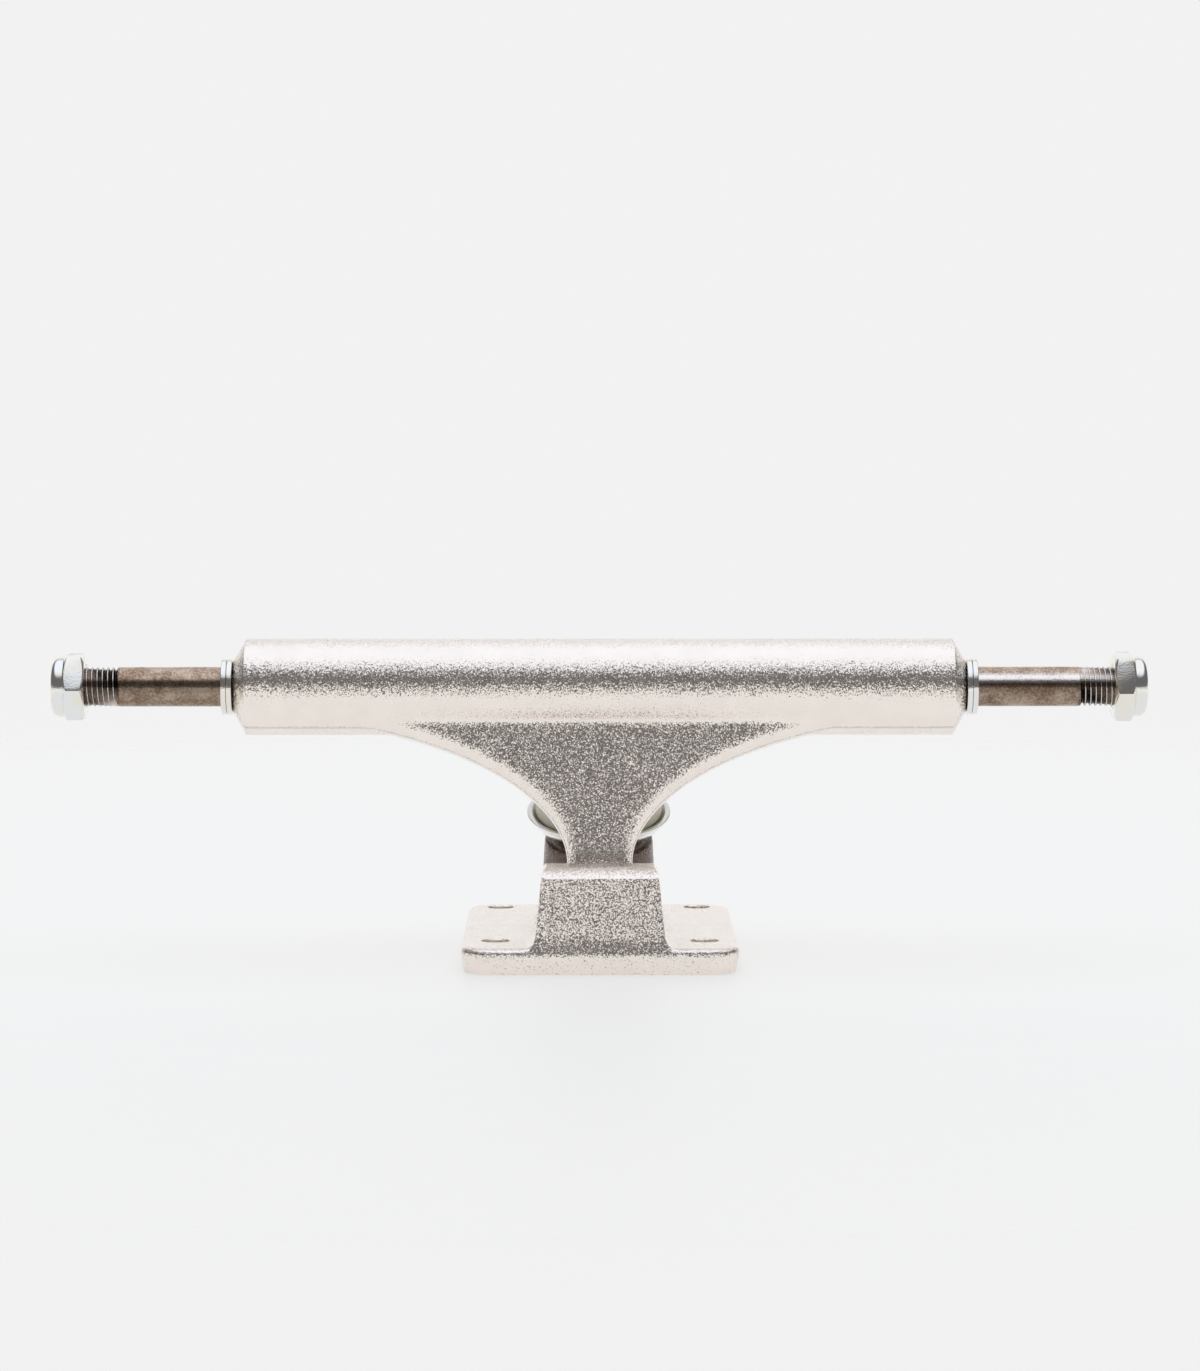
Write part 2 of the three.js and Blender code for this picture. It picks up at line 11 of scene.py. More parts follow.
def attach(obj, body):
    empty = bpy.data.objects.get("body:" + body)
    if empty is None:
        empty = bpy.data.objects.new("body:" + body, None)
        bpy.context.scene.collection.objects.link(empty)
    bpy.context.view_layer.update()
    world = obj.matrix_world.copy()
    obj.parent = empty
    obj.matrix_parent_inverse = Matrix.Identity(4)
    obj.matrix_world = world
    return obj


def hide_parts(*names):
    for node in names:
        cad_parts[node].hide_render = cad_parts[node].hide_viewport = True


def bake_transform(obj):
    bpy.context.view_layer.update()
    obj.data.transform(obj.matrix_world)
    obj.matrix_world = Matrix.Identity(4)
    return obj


bl_info = {
    "name": "Skateboard truck",
    "version": (1, 0, 0),
    "blender": (4, 5, 0),
    "location": "3D View > Sidebar > Truck",
    "description": "Builds a skateboard truck piece by piece, with its stage",
    "category": "Add Mesh",
}

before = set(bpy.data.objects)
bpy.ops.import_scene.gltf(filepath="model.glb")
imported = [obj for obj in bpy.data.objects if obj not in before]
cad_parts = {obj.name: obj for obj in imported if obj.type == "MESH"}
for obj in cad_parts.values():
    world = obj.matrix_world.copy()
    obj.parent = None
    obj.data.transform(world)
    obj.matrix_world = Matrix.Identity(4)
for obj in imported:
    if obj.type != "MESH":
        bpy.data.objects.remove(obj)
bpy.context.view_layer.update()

MM = 0.001

# The three lines that the pieces are turned about, in millimetres. Local +Z of each one runs along it.
KINGPIN_LEAN = math.radians(17.7)
KINGPIN_FOOT_Y = 30.4
WEB_LEAN = math.radians(9.6)
PIVOT_RISE = math.radians(31.2185)
PIVOT_Y = -27.9875
PIVOT_Z = 11
AXLE_Y = -11.0
AXLE_Z = 54.5
KINGPIN = Matrix.Translation((0, KINGPIN_FOOT_Y * MM, 0)) @ Matrix.Rotation(KINGPIN_LEAN, 4, "X")
PIVOT = Matrix.Translation((0, PIVOT_Y * MM, PIVOT_Z * MM)) @ Matrix.Rotation(PIVOT_RISE - math.pi / 2, 4, "X")
AXLE = {
    side: Matrix.Translation((0, AXLE_Y * MM, AXLE_Z * MM)) @ Matrix.Rotation(turn, 4, "Y")
    for side, turn in (("right", math.pi / 2), ("left", -math.pi / 2))
}

# What several pieces share, in millimetres but for the slope and the last one, which is in metres
BARREL_RADIUS = 9.7
AXLE_BORE = 4.0
KINGPIN_BORE = 4.9
CORNER_SLOPE = math.tan(math.radians(30))
MERGE_DISTANCE = 0.004 * MM

# The settings of a Mix node that multiplies two colours
MULTIPLIED = {"data_type": "RGBA", "blend_type": "MULTIPLY"}


def linear(code):
    """An sRGB hex colour as the linear colour that Blender's sockets take."""
    shares = [int(code[i:i + 2], 16) / 255 for i in (1, 3, 5)]
    return tuple(s / 12.92 if s <= 0.04045 else ((s + 0.055) / 1.055) ** 2.4 for s in shares) + (1.0,)


# Settings that a user would change


def colour_setting(name, description, code):
    """A colour that a user would change, which starts as this hex colour."""
    return FloatVectorProperty(
        name=name, description=description, size=4, default=linear(code), min=0, max=1, subtype="COLOR")


class TruckSizes(bpy.types.PropertyGroup):
    """Sizes of the cast, turned and threaded surfaces."""

    cast_grain: FloatProperty(
        name="Cast grain", description="Size of the small dents that tumbling leaves on the castings",
        default=0.19 * MM, min=0.1 * MM, subtype="DISTANCE", unit="LENGTH")
    cast_voxel: FloatProperty(
        name="Casting detail", description="Size of the smallest form of the castings",
        default=0.5 * MM, min=0.3 * MM, subtype="DISTANCE", unit="LENGTH")
    thread_pitch: FloatProperty(
        name="Thread pitch", description="Distance from one thread crest to the next, 24 to the inch",
        default=25.4 / 24 * MM, min=0.5 * MM, subtype="DISTANCE", unit="LENGTH")
    edge_round: FloatProperty(
        name="Edge round", description="Rounding of the edges of washers and nuts",
        default=0.16 * MM, min=0.0, subtype="DISTANCE", unit="LENGTH")
    turned_sides: IntProperty(
        name="Turned sides", description="Flat faces around a turned piece", default=96, min=24)


class TruckFinishes(bpy.types.PropertyGroup):
    """Colours of the metals and plastics."""

    aluminium: colour_setting("Cast aluminium", "Tumbled casting alloy", "#fff6ee")
    axle_steel: colour_setting("Axle steel", "Heat treated bare steel", "#bba897")
    kingpin_steel: colour_setting("Kingpin steel", "Plain rolled steel", "#9c9893")
    zinc: colour_setting("Bright zinc", "Clear passivated zinc plating", "#f1f3f3")
    urethane: colour_setting("Ivory urethane", "Poured urethane of the bushings", "#e8e1cf")
    nylon: colour_setting("White nylon", "Locking rings of the nuts", "#eeeeea")
    black_plastic: colour_setting("Black plastic", "Moulded pivot cup", "#26262a")
    floor: colour_setting("Floor", "Floor under the truck, which also glows softly", "#aeb2b2")


# Modelling steps


def pick(*pieces):
    """Leaves only these objects selected, the last one active."""
    bpy.ops.object.select_all(action="DESELECT")
    for piece in pieces:
        piece.select_set(True)
        bpy.context.view_layer.objects.active = piece


def new_piece(name):
    """Names the object that the last operator added."""
    piece = bpy.context.object
    piece.name = name
    piece.data.name = name
    return piece


def modify(piece, kind, **settings):
    """Gives a piece a modifier with these settings and applies it."""
    pick(piece)
    bpy.ops.object.modifier_add(type=kind)
    modifier = piece.modifiers[-1]
    for setting, value in settings.items():
        setattr(modifier, setting, value)
    bpy.ops.object.modifier_apply(modifier=modifier.name)


def combine(piece, operation, *others):
    """Joins others to a piece, or cuts them from it, and takes them away."""
    for other in others:
        modify(piece, "BOOLEAN", object=other, operation=operation, solver="MANIFOLD")
        bpy.data.objects.remove(other)


def put(piece, place):
    """Moves a piece from the origin to its place, and keeps that place in its mesh."""
    pick(piece)
    piece.matrix_world = place
    bpy.ops.object.transform_apply(location=True, rotation=True, scale=True)
    return piece


def round_edges(piece, width, angle=25, segments=3):
    """Rounds the edges that are sharper than the angle, in degrees."""
    modify(piece, "BEVEL", width=width, segments=segments, limit_method="ANGLE", angle_limit=math.radians(angle))


def trace(name, points):
    """Draws a line of points in the XZ plane, in millimetres, by extruding one vertex. It stays in edit mode."""
    bpy.ops.object.select_all(action="DESELECT")
    bpy.ops.mesh.primitive_plane_add(size=MM, location=(0, 0, 0))
    piece = new_piece(name)
    bpy.ops.object.mode_set(mode="EDIT")
    bpy.ops.mesh.select_mode(type="VERT")
    bpy.ops.mesh.select_all(action="SELECT")
    bpy.ops.mesh.merge(type="CENTER")
    bpy.ops.transform.translate(value=(points[0][0] * MM, 0, points[0][1] * MM))
    for (x, z), (next_x, next_z) in zip(points, points[1:]):
        step = ((next_x - x) * MM, 0, (next_z - z) * MM)
        bpy.ops.mesh.extrude_region_move(TRANSFORM_OT_translate={"value": step})
    return piece


def close_shell():
    """Merges what meets and turns the faces outwards, in edit mode."""
    bpy.ops.mesh.select_all(action="SELECT")
    bpy.ops.mesh.remove_doubles(threshold=MERGE_DISTANCE)
    bpy.ops.mesh.normals_make_consistent(inside=False)
    bpy.ops.object.mode_set(mode="OBJECT")


def turned(name, profile, place, rounding=0.0, sides=None):
    """A turned piece: a profile of [radius, height] in millimetres, spun about its line."""
    piece = trace(name, profile)
    bpy.ops.mesh.select_all(action="SELECT")
    sides = sides or bpy.context.scene.truck_sizes.turned_sides
    bpy.ops.mesh.spin(steps=sides, angle=2 * math.pi, center=(0, 0, 0), axis=(0, 0, 1))
    close_shell()
    if rounding:
        round_edges(piece, rounding)
    return put(piece, place)


def slab(name, outline, depth):
    """A plate with its outline in the XZ plane, from its face at y = 0 back to y = depth, in millimetres."""
    piece = trace(name, outline)
    bpy.ops.mesh.select_all(action="SELECT")
    bpy.ops.mesh.remove_doubles(threshold=MERGE_DISTANCE)
    bpy.ops.mesh.edge_face_add()
    bpy.ops.mesh.extrude_region_move(TRANSFORM_OT_translate={"value": (0, depth * MM, 0)})
    close_shell()
    return piece


def side_slab(name, outline, half_width):
    """A plate with its outline of [y, z] in the side view, as wide to each side of the middle plane."""
    piece = slab(name, outline, 2 * half_width)
    turn = Matrix(((0, -1, 0, half_width * MM), (1, 0, 0, 0), (0, 0, 1, 0), (0, 0, 0, 1)))
    return put(piece, turn)


def hexagonal_bar(name, flats, start, end):
    """A hexagonal bar around the local Z axis, by its width across flats."""
    bpy.ops.object.select_all(action="DESELECT")
    bpy.ops.mesh.primitive_cylinder_add(
        vertices=6, radius=flats / 2 / math.cos(math.pi / 6) * MM, depth=(end - start) * MM,
        location=(0, 0, (start + end) / 2 * MM))
    return new_piece(name)


def hexagon(name, flats, start, end, envelope, place):
    """A hexagonal bar whose corners are turned off to the envelope."""
    piece = hexagonal_bar(name, flats, start - 1, end + 1)
    put(piece, piece.matrix_world.copy())
    combine(piece, "INTERSECT", turned("envelope", envelope, Matrix.Identity(4)))
    return put(piece, place)


def along_kingpin(along, across):
    """A point of the side view, given by its place along the kingpin and across it."""
    lean = KINGPIN_LEAN
    return (KINGPIN_FOOT_Y - along * math.sin(lean) + across * math.cos(lean),
            along * math.cos(lean) + across * math.sin(lean))


def along_pivot(along, above):
    """A point of the side view, given by its place along the pivot's line and above it."""
    rise = PIVOT_RISE
    return (PIVOT_Y + along * math.cos(rise) - above * math.sin(rise),
            PIVOT_Z + along * math.sin(rise) + above * math.cos(rise))


def arc(centre, radius, start, end, steps):
    """Points of an arc in a profile or outline, with its angles in degrees."""
    angles = [math.radians(start + (end - start) * i / steps) for i in range(steps + 1)]
    return [(centre[0] + radius * math.cos(a), centre[1] + radius * math.sin(a)) for a in angles]


def curve(points, steps=28):
    """Points of a cubic curve."""
    found = []
    for i in range(steps + 1):
        t = i / steps
        shares = ((1 - t) ** 3, 3 * t * (1 - t) ** 2, 3 * t * t * (1 - t), t ** 3)
        found.append(tuple(sum(s * p[k] for s, p in zip(shares, points)) for k in (0, 1)))
    return found


def smooth_step(value, low, high):
    """0 up to the low value, 1 from the high one on, and a soft rise between them."""
    share = min(1.0, max(0.0, (value - low) / (high - low)))
    return share * share * (3 - 2 * share)


def weigh(piece, name, weight_of):
    """Gives a piece a vertex group whose weights come from the places of its points."""
    group = piece.vertex_groups.new(name=name)
    for vertex in piece.data.vertices:
        weight = weight_of(vertex.co / MM)
        if weight > 0:
            group.add([vertex.index], weight, "REPLACE")


def dress(piece, material, body, nodes, angle=30):
    """Shades a finished piece, paints it, parents it to the body that it moves with, and hides the imported nodes
    that it stands for.
    """
    pick(piece)
    piece.vertex_groups.clear()
    bpy.ops.object.shade_smooth_by_angle(angle=math.radians(angle))
    piece.data.materials.clear()
    piece.data.materials.append(material)
    if isinstance(body, str):
        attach(piece, body)
    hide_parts(*nodes)


# Finishes


def add_node(tree, kind, inputs=None, stops=(), **settings):
    """Adds a node with its settings. An input is a value, another node, or a node and the name of its output.
    The stops are those of a colour ramp, each with its position and colour."""
    node = tree.nodes.new(kind)
    for setting, value in settings.items():
        setattr(node, setting, value)
    for socket, value in (inputs or {}).items():
        if isinstance(value, bpy.types.Node):
            value = (value, next(output.name for output in value.outputs if output.enabled))
        if isinstance(value, tuple) and isinstance(value[0], bpy.types.Node):
            tree.links.new(value[0].outputs[value[1]], node.inputs[socket])
        else:
            node.inputs[socket].default_value = value
    for number, (position, color) in enumerate(stops):
        node.color_ramp.elements[number].position = position
        node.color_ramp.elements[number].color = color
    return node


def blank_material(name):
    """Gives an empty material, its node tree and its object coordinates."""
    material = bpy.data.materials.new(name)
    material.use_nodes = True
    tree = material.node_tree
    tree.nodes.clear()
    return material, tree, (add_node(tree, "ShaderNodeTexCoord"), "Object")


# A Map Range node gives 0 at From Min and 1 at From Max, also where the first of them is the larger one. The scale
# of a pattern is its cells to the metre: 260 gives clouds of about 4 mm, and 2600 gives pits of 0.4 mm.


def off_axle(tree, place):
    """How far a point lies from the axle's line."""
    parts = add_node(tree, "ShaderNodeSeparateXYZ", {"Vector": place})
    flat = add_node(tree, "ShaderNodeCombineXYZ", {"Y": (parts, "Y"), "Z": (parts, "Z")})
    line = (0.0, AXLE_Y * MM, AXLE_Z * MM)
    return add_node(tree, "ShaderNodeVectorMath", {0: flat, 1: line}, operation="DISTANCE")


def painted_hollow_shade(tree, place, color):
    """Painted shade between the housing and the kingpin's boss: the casting's colour turns dark brown in that hollow.
    """
    moved = add_node(tree, "ShaderNodeMapping", {"Vector": place, "Location": (0, -KINGPIN_FOOT_Y * MM, 0)})
    level = add_node(tree, "ShaderNodeMapping", {"Vector": moved, "Rotation": (-KINGPIN_LEAN, 0, 0)})
    parts = add_node(tree, "ShaderNodeSeparateXYZ", {"Vector": level})
    flat = add_node(tree, "ShaderNodeCombineXYZ", {"X": (parts, "X"), "Y": (parts, "Y")})
    radius = add_node(tree, "ShaderNodeVectorMath", {0: flat}, operation="LENGTH")
    skin_and_shade = add_node(tree, "ShaderNodeMapRange", {"Value": (parts, "Y"), "From Min": 5 * MM, "From Max": 2 * MM})
    above = add_node(tree, "ShaderNodeMapRange", {"Value": (parts, "Z"), "From Min": 5 * MM, "From Max": 9 * MM})
    around = add_node(tree, "ShaderNodeMapRange", {"Value": radius, "From Min": 13.4 * MM, "From Max": 12.5 * MM})
    for share in (above, around):
        skin_and_shade = add_node(tree, "ShaderNodeMath", {0: skin_and_shade, 1: share}, operation="MULTIPLY")
    return add_node(tree, "ShaderNodeMix", {"Factor": skin_and_shade, "A": color, "B": linear("#6b5c54")}, data_type="RGBA")


def parting_ridge(tree, place, normal):
    """A thin ridge where the two halves of the mould met, in front of the web's middle."""
    parts = add_node(tree, "ShaderNodeSeparateXYZ", {"Vector": place})
    cos, sin = math.cos(WEB_LEAN), math.sin(WEB_LEAN)
    along_y = add_node(tree, "ShaderNodeMath", {
        0: (parts, "Y"), 1: cos, 2: 16.8 * MM * cos}, operation="MULTIPLY_ADD")
    along_z = add_node(tree, "ShaderNodeMath", {
        0: (parts, "Z"), 1: -sin, 2: 46.7 * MM * sin}, operation="MULTIPLY_ADD")
    away = add_node(tree, "ShaderNodeMath", {0: along_y, 1: along_z}, operation="ADD")
    away = add_node(tree, "ShaderNodeMath", {0: away}, operation="ABSOLUTE")
    ridge = add_node(tree, "ShaderNodeMapRange", {
        "Value": away, "From Min": 0.3 * MM, "From Max": 0.04 * MM}, interpolation_type="SMOOTHSTEP")
    low = add_node(tree, "ShaderNodeMapRange", {"Value": (parts, "Z"), "From Min": 52 * MM, "From Max": 49 * MM})
    height = add_node(tree, "ShaderNodeMath", {0: ridge, 1: low}, operation="MULTIPLY")
    return add_node(tree, "ShaderNodeBump", {
        "Height": height, "Strength": 1.0, "Distance": 0.3 * MM, "Normal": normal})


def tumbled_aluminium(name, of_hanger):
    """Gravity cast aluminium, tumbled: bright, with an orange peel and small dents that each mirror
    another part of the room, so that dark reflections sparkle with grains of light."""
    settings = bpy.context.scene
    grain = settings.truck_sizes.cast_grain
    material, tree, place = blank_material(name)
    peel = add_node(tree, "ShaderNodeTexNoise", {"Vector": place, "Scale": 0.33 / grain, "Detail": 1.0})
    dents = add_node(tree, "ShaderNodeTexVoronoi", {"Vector": place, "Scale": 1 / grain})
    cloud = add_node(tree, "ShaderNodeTexNoise", {"Vector": place, "Scale": 0.04 / grain, "Detail": 3.0})
    tone = add_node(tree, "ShaderNodeMapRange", {
        "Value": cloud, "From Min": 0.35, "From Max": 0.65, "To Min": 0.96, "To Max": 1.0})
    color = add_node(tree, "ShaderNodeMix", {
        "Factor": 1.0, "A": settings.truck_finishes.aluminium[:], "B": tone}, **MULTIPLIED)
    rough = add_node(tree, "ShaderNodeMapRange", {
        "Value": cloud, "From Min": 0.3, "From Max": 0.7, "To Min": 0.17, "To Max": 0.22})
    relief = add_node(tree, "ShaderNodeBump", {"Height": peel, "Strength": 1.0, "Distance": 0.35 * grain})
    if of_hanger:
        relief = parting_ridge(tree, place, relief)
    else:
        # The baseplate's colour gets painted shade in the hollow between its housing and the kingpin's boss
        color = painted_hollow_shade(tree, place, color)
    # The web and the baseplate are dented more than the barrel
    reach = add_node(tree, "ShaderNodeMapRange", {
        "Value": off_axle(tree, place), "From Min": 9.8 * MM, "From Max": 10.6 * MM, "To Min": 0.34, "To Max": 0.46})
    even = add_node(tree, "ShaderNodeVectorMath", {0: (dents, "Color"), 1: (0.5, 0.5, 0.5)}, operation="SUBTRACT")
    tilt = add_node(tree, "ShaderNodeVectorMath", {0: even, "Scale": reach}, operation="SCALE")
    facing = add_node(tree, "ShaderNodeVectorMath", {0: relief, 1: tilt}, operation="ADD")
    facing = add_node(tree, "ShaderNodeVectorMath", {0: facing}, operation="NORMALIZE")
    surface = add_node(tree, "ShaderNodeBsdfPrincipled", {
        "Base Color": color, "Roughness": rough, "Normal": facing, "Metallic": 1.0})
    add_node(tree, "ShaderNodeOutputMaterial", {"Surface": surface})
    return material


def painted_axle_highlights(tree, parts, radius, height, patches, painted_valley_shade):
    """Where highlights are painted on the axle: a strip along the upper front of its right end, and the thread
    crests.
    """
    painted_highlight = add_node(tree, "ShaderNodeMapRange", {"Value": (parts, "X"), "From Min": 60 * MM, "From Max": 62 * MM})
    front = add_node(tree, "ShaderNodeMapRange", {
        "Value": (parts, "Y"), "From Min": AXLE_Y * MM, "From Max": (AXLE_Y - 1) * MM})
    off_strip = add_node(tree, "ShaderNodeMath", {0: height, 1: 1.95 * MM}, operation="SUBTRACT")
    off_strip = add_node(tree, "ShaderNodeMath", {0: off_strip}, operation="ABSOLUTE")
    strip = add_node(tree, "ShaderNodeMapRange", {"Value": off_strip, "From Min": 1.1 * MM, "From Max": 0.3 * MM})
    patchy = add_node(tree, "ShaderNodeMapRange", {
        "Value": patches, "From Min": 0.3, "From Max": 0.45, "To Min": 0.3, "To Max": 1.0})
    for share in (front, strip, patchy, painted_valley_shade):
        painted_highlight = add_node(tree, "ShaderNodeMath", {0: painted_highlight, 1: share}, operation="MULTIPLY")
    far = add_node(tree, "ShaderNodeMath", {0: (parts, "X")}, operation="ABSOLUTE")
    thread = add_node(tree, "ShaderNodeMapRange", {
        "Value": far, "From Min": 96.7 * MM, "From Max": 96.9 * MM, "To Max": 0.6})
    crest = add_node(tree, "ShaderNodeMapRange", {"Value": radius, "From Min": 3.78 * MM, "From Max": 3.9 * MM})
    crest = add_node(tree, "ShaderNodeMath", {0: crest, 1: thread}, operation="MULTIPLY")
    return add_node(tree, "ShaderNodeMath", {0: painted_highlight, 1: crest}, operation="MAXIMUM")


def bare_steel(name, color, streak_axis):
    """Ground or rolled bare steel: fine rings around the piece, a brown heat tint in clouds, and painted shade
    in the valleys of the axle's threads."""
    material, tree, place = blank_material(name)
    squeeze = [60.0, 60.0, 60.0]
    squeeze[streak_axis] = 3600.0
    lines = add_node(tree, "ShaderNodeMapping", {"Vector": place, "Scale": squeeze})
    rings = add_node(tree, "ShaderNodeTexNoise", {"Vector": lines, "Scale": 1.0, "Detail": 2.0})
    clouds = add_node(tree, "ShaderNodeTexNoise", {
        "Vector": place, "Scale": 220.0, "Detail": 4.0, "Roughness": 0.6})
    specks = add_node(tree, "ShaderNodeTexNoise", {"Vector": place, "Scale": 2200.0, "Detail": 1.0})
    patches = add_node(tree, "ShaderNodeMix", {"Factor": 0.4, "A": clouds, "B": specks})
    heated = tuple(c * s for c, s in zip(color, (0.46, 0.38, 0.32, 1.0)))
    tint = add_node(tree, "ShaderNodeValToRGB", {"Fac": patches}, stops=((0.4, heated), (0.6, color)))
    parts = add_node(tree, "ShaderNodeSeparateXYZ", {"Vector": place})
    radius = off_axle(tree, place)
    # Painted shade: the colour darkens towards the roots of the axle's threads
    painted_valley_shade = add_node(tree, "ShaderNodeMapRange", {
        "Value": radius, "From Min": 3.6 * MM, "From Max": 3.92 * MM, "To Min": 0.03, "To Max": 1.0})
    tint = add_node(tree, "ShaderNodeMix", {"Factor": 1.0, "A": tint, "B": painted_valley_shade}, **MULTIPLIED)
    height = add_node(tree, "ShaderNodeMath", {0: (parts, "Z"), 1: AXLE_Z * MM}, operation="SUBTRACT")
    if streak_axis == 0:
        # A painted highlight makes the axle's upper side brighter, and a painted dark reflection runs along its
        # middle
        painted_top_highlight = add_node(tree, "ShaderNodeMapRange", {
            "Value": height, "From Min": 1.2 * MM, "From Max": 2 * MM, "To Min": 0.62, "To Max": 1.3})
        under = add_node(tree, "ShaderNodeMapRange", {
            "Value": height, "From Min": -0.6 * MM, "From Max": -1.4 * MM, "To Max": 0.26})
        painted_reflection_band = add_node(tree, "ShaderNodeMath", {0: painted_top_highlight, 1: under}, operation="ADD")
        tint = add_node(tree, "ShaderNodeMix", {"Factor": 1.0, "A": tint, "B": painted_reflection_band}, **MULTIPLIED)
    # A painted highlight: along a strip of the right end and on the thread crests the colour turns near white, and
    # the steel is made smoother there
    painted_highlight = painted_axle_highlights(tree, parts, radius, height, patches, painted_valley_shade)
    tint = add_node(tree, "ShaderNodeMix", {"Factor": painted_highlight, "A": tint, "B": linear("#fbf6f2")}, data_type="RGBA")
    rough = add_node(tree, "ShaderNodeMapRange", {
        "Value": clouds, "From Min": 0.3, "From Max": 0.7, "To Min": 0.34, "To Max": 0.2})
    rough = add_node(tree, "ShaderNodeMix", {"Factor": painted_highlight, "A": rough, "B": 0.14})
    relief = add_node(tree, "ShaderNodeBump", {"Height": rings, "Strength": 0.6, "Distance": 0.02 * MM})
    relief = add_node(tree, "ShaderNodeBump", {
        "Height": specks, "Strength": 0.6, "Distance": 0.03 * MM, "Normal": relief})
    surface = add_node(tree, "ShaderNodeBsdfPrincipled", {
        "Base Color": tint, "Roughness": rough, "Normal": relief, "Metallic": 1.0})
    add_node(tree, "ShaderNodeOutputMaterial", {"Surface": surface})
    return material


def bright_zinc(name):
    """Zinc plated steel with a clear passivation: a white mirror, clouded from bluish to cream, and finely
    pitted."""
    material, tree, place = blank_material(name)
    cloud = add_node(tree, "ShaderNodeTexNoise", {"Vector": place, "Scale": 260.0, "Detail": 3.0})
    pits = add_node(tree, "ShaderNodeTexNoise", {"Vector": place, "Scale": 2600.0, "Detail": 2.0})
    cream, zinc = linear("#f5f0e4"), bpy.context.scene.truck_finishes.zinc[:]
    tint = add_node(tree, "ShaderNodeValToRGB", {"Fac": cloud}, stops=((0.38, cream), (0.58, zinc)))
    rough = add_node(tree, "ShaderNodeMapRange", {
        "Value": cloud, "From Min": 0.3, "From Max": 0.7, "To Min": 0.18, "To Max": 0.1})
    relief = add_node(tree, "ShaderNodeBump", {"Height": pits, "Strength": 0.7, "Distance": 0.035 * MM})
    surface = add_node(tree, "ShaderNodeBsdfPrincipled", {
        "Base Color": tint, "Roughness": rough, "Normal": relief, "Metallic": 1.0})
    add_node(tree, "ShaderNodeOutputMaterial", {"Surface": surface})
    return material


def soft_plastic(name, color, roughness, depth):
    """Poured urethane, or moulded nylon or plastic: satin, faintly mottled, with light that sinks in."""
    material, tree, place = blank_material(name)
    mottle = add_node(tree, "ShaderNodeTexNoise", {"Vector": place, "Scale": 260.0, "Detail": 4.0})
    skin_and_shade = add_node(tree, "ShaderNodeTexNoise", {"Vector": place, "Scale": 1800.0, "Detail": 2.0})
    darker = tuple(0.9 * c for c in color[:3]) + (1.0,)
    tint = add_node(tree, "ShaderNodeValToRGB", {"Fac": mottle}, stops=((0.35, darker), (0.6, color)))
    relief = add_node(tree, "ShaderNodeBump", {"Height": skin_and_shade, "Strength": 0.35, "Distance": 0.03 * MM})
    surface = add_node(tree, "ShaderNodeBsdfPrincipled", {
        "Base Color": tint, "Roughness": roughness, "Normal": relief,
        "Subsurface Weight": 0.25 if depth else 0.0, "Subsurface Scale": depth * MM})
    add_node(tree, "ShaderNodeOutputMaterial", {"Surface": surface})
    return material


def finish_named(name):
    """The truck's material of that name, made when it is first asked for."""
    finishes = bpy.context.scene.truck_finishes
    found = bpy.data.materials.get(name)
    if found:
        return found
    makers = {
        "tumbled_aluminium_hanger": (tumbled_aluminium, True),
        "tumbled_aluminium_baseplate": (tumbled_aluminium, False),
        "heat_treated_steel": (bare_steel, finishes.axle_steel[:], 0),
        "rolled_steel": (bare_steel, finishes.kingpin_steel[:], 2),
        "zinc_plated_steel": (bright_zinc,),
        "poured_urethane": (soft_plastic, finishes.urethane[:], 0.42, 1.5),
        "moulded_nylon": (soft_plastic, finishes.nylon[:], 0.4, 0.6),
        "moulded_plastic": (soft_plastic, finishes.black_plastic[:], 0.5, 0.0),
    }
    maker, *settings = makers[name]
    return maker(name, *settings)


# Stage and camera


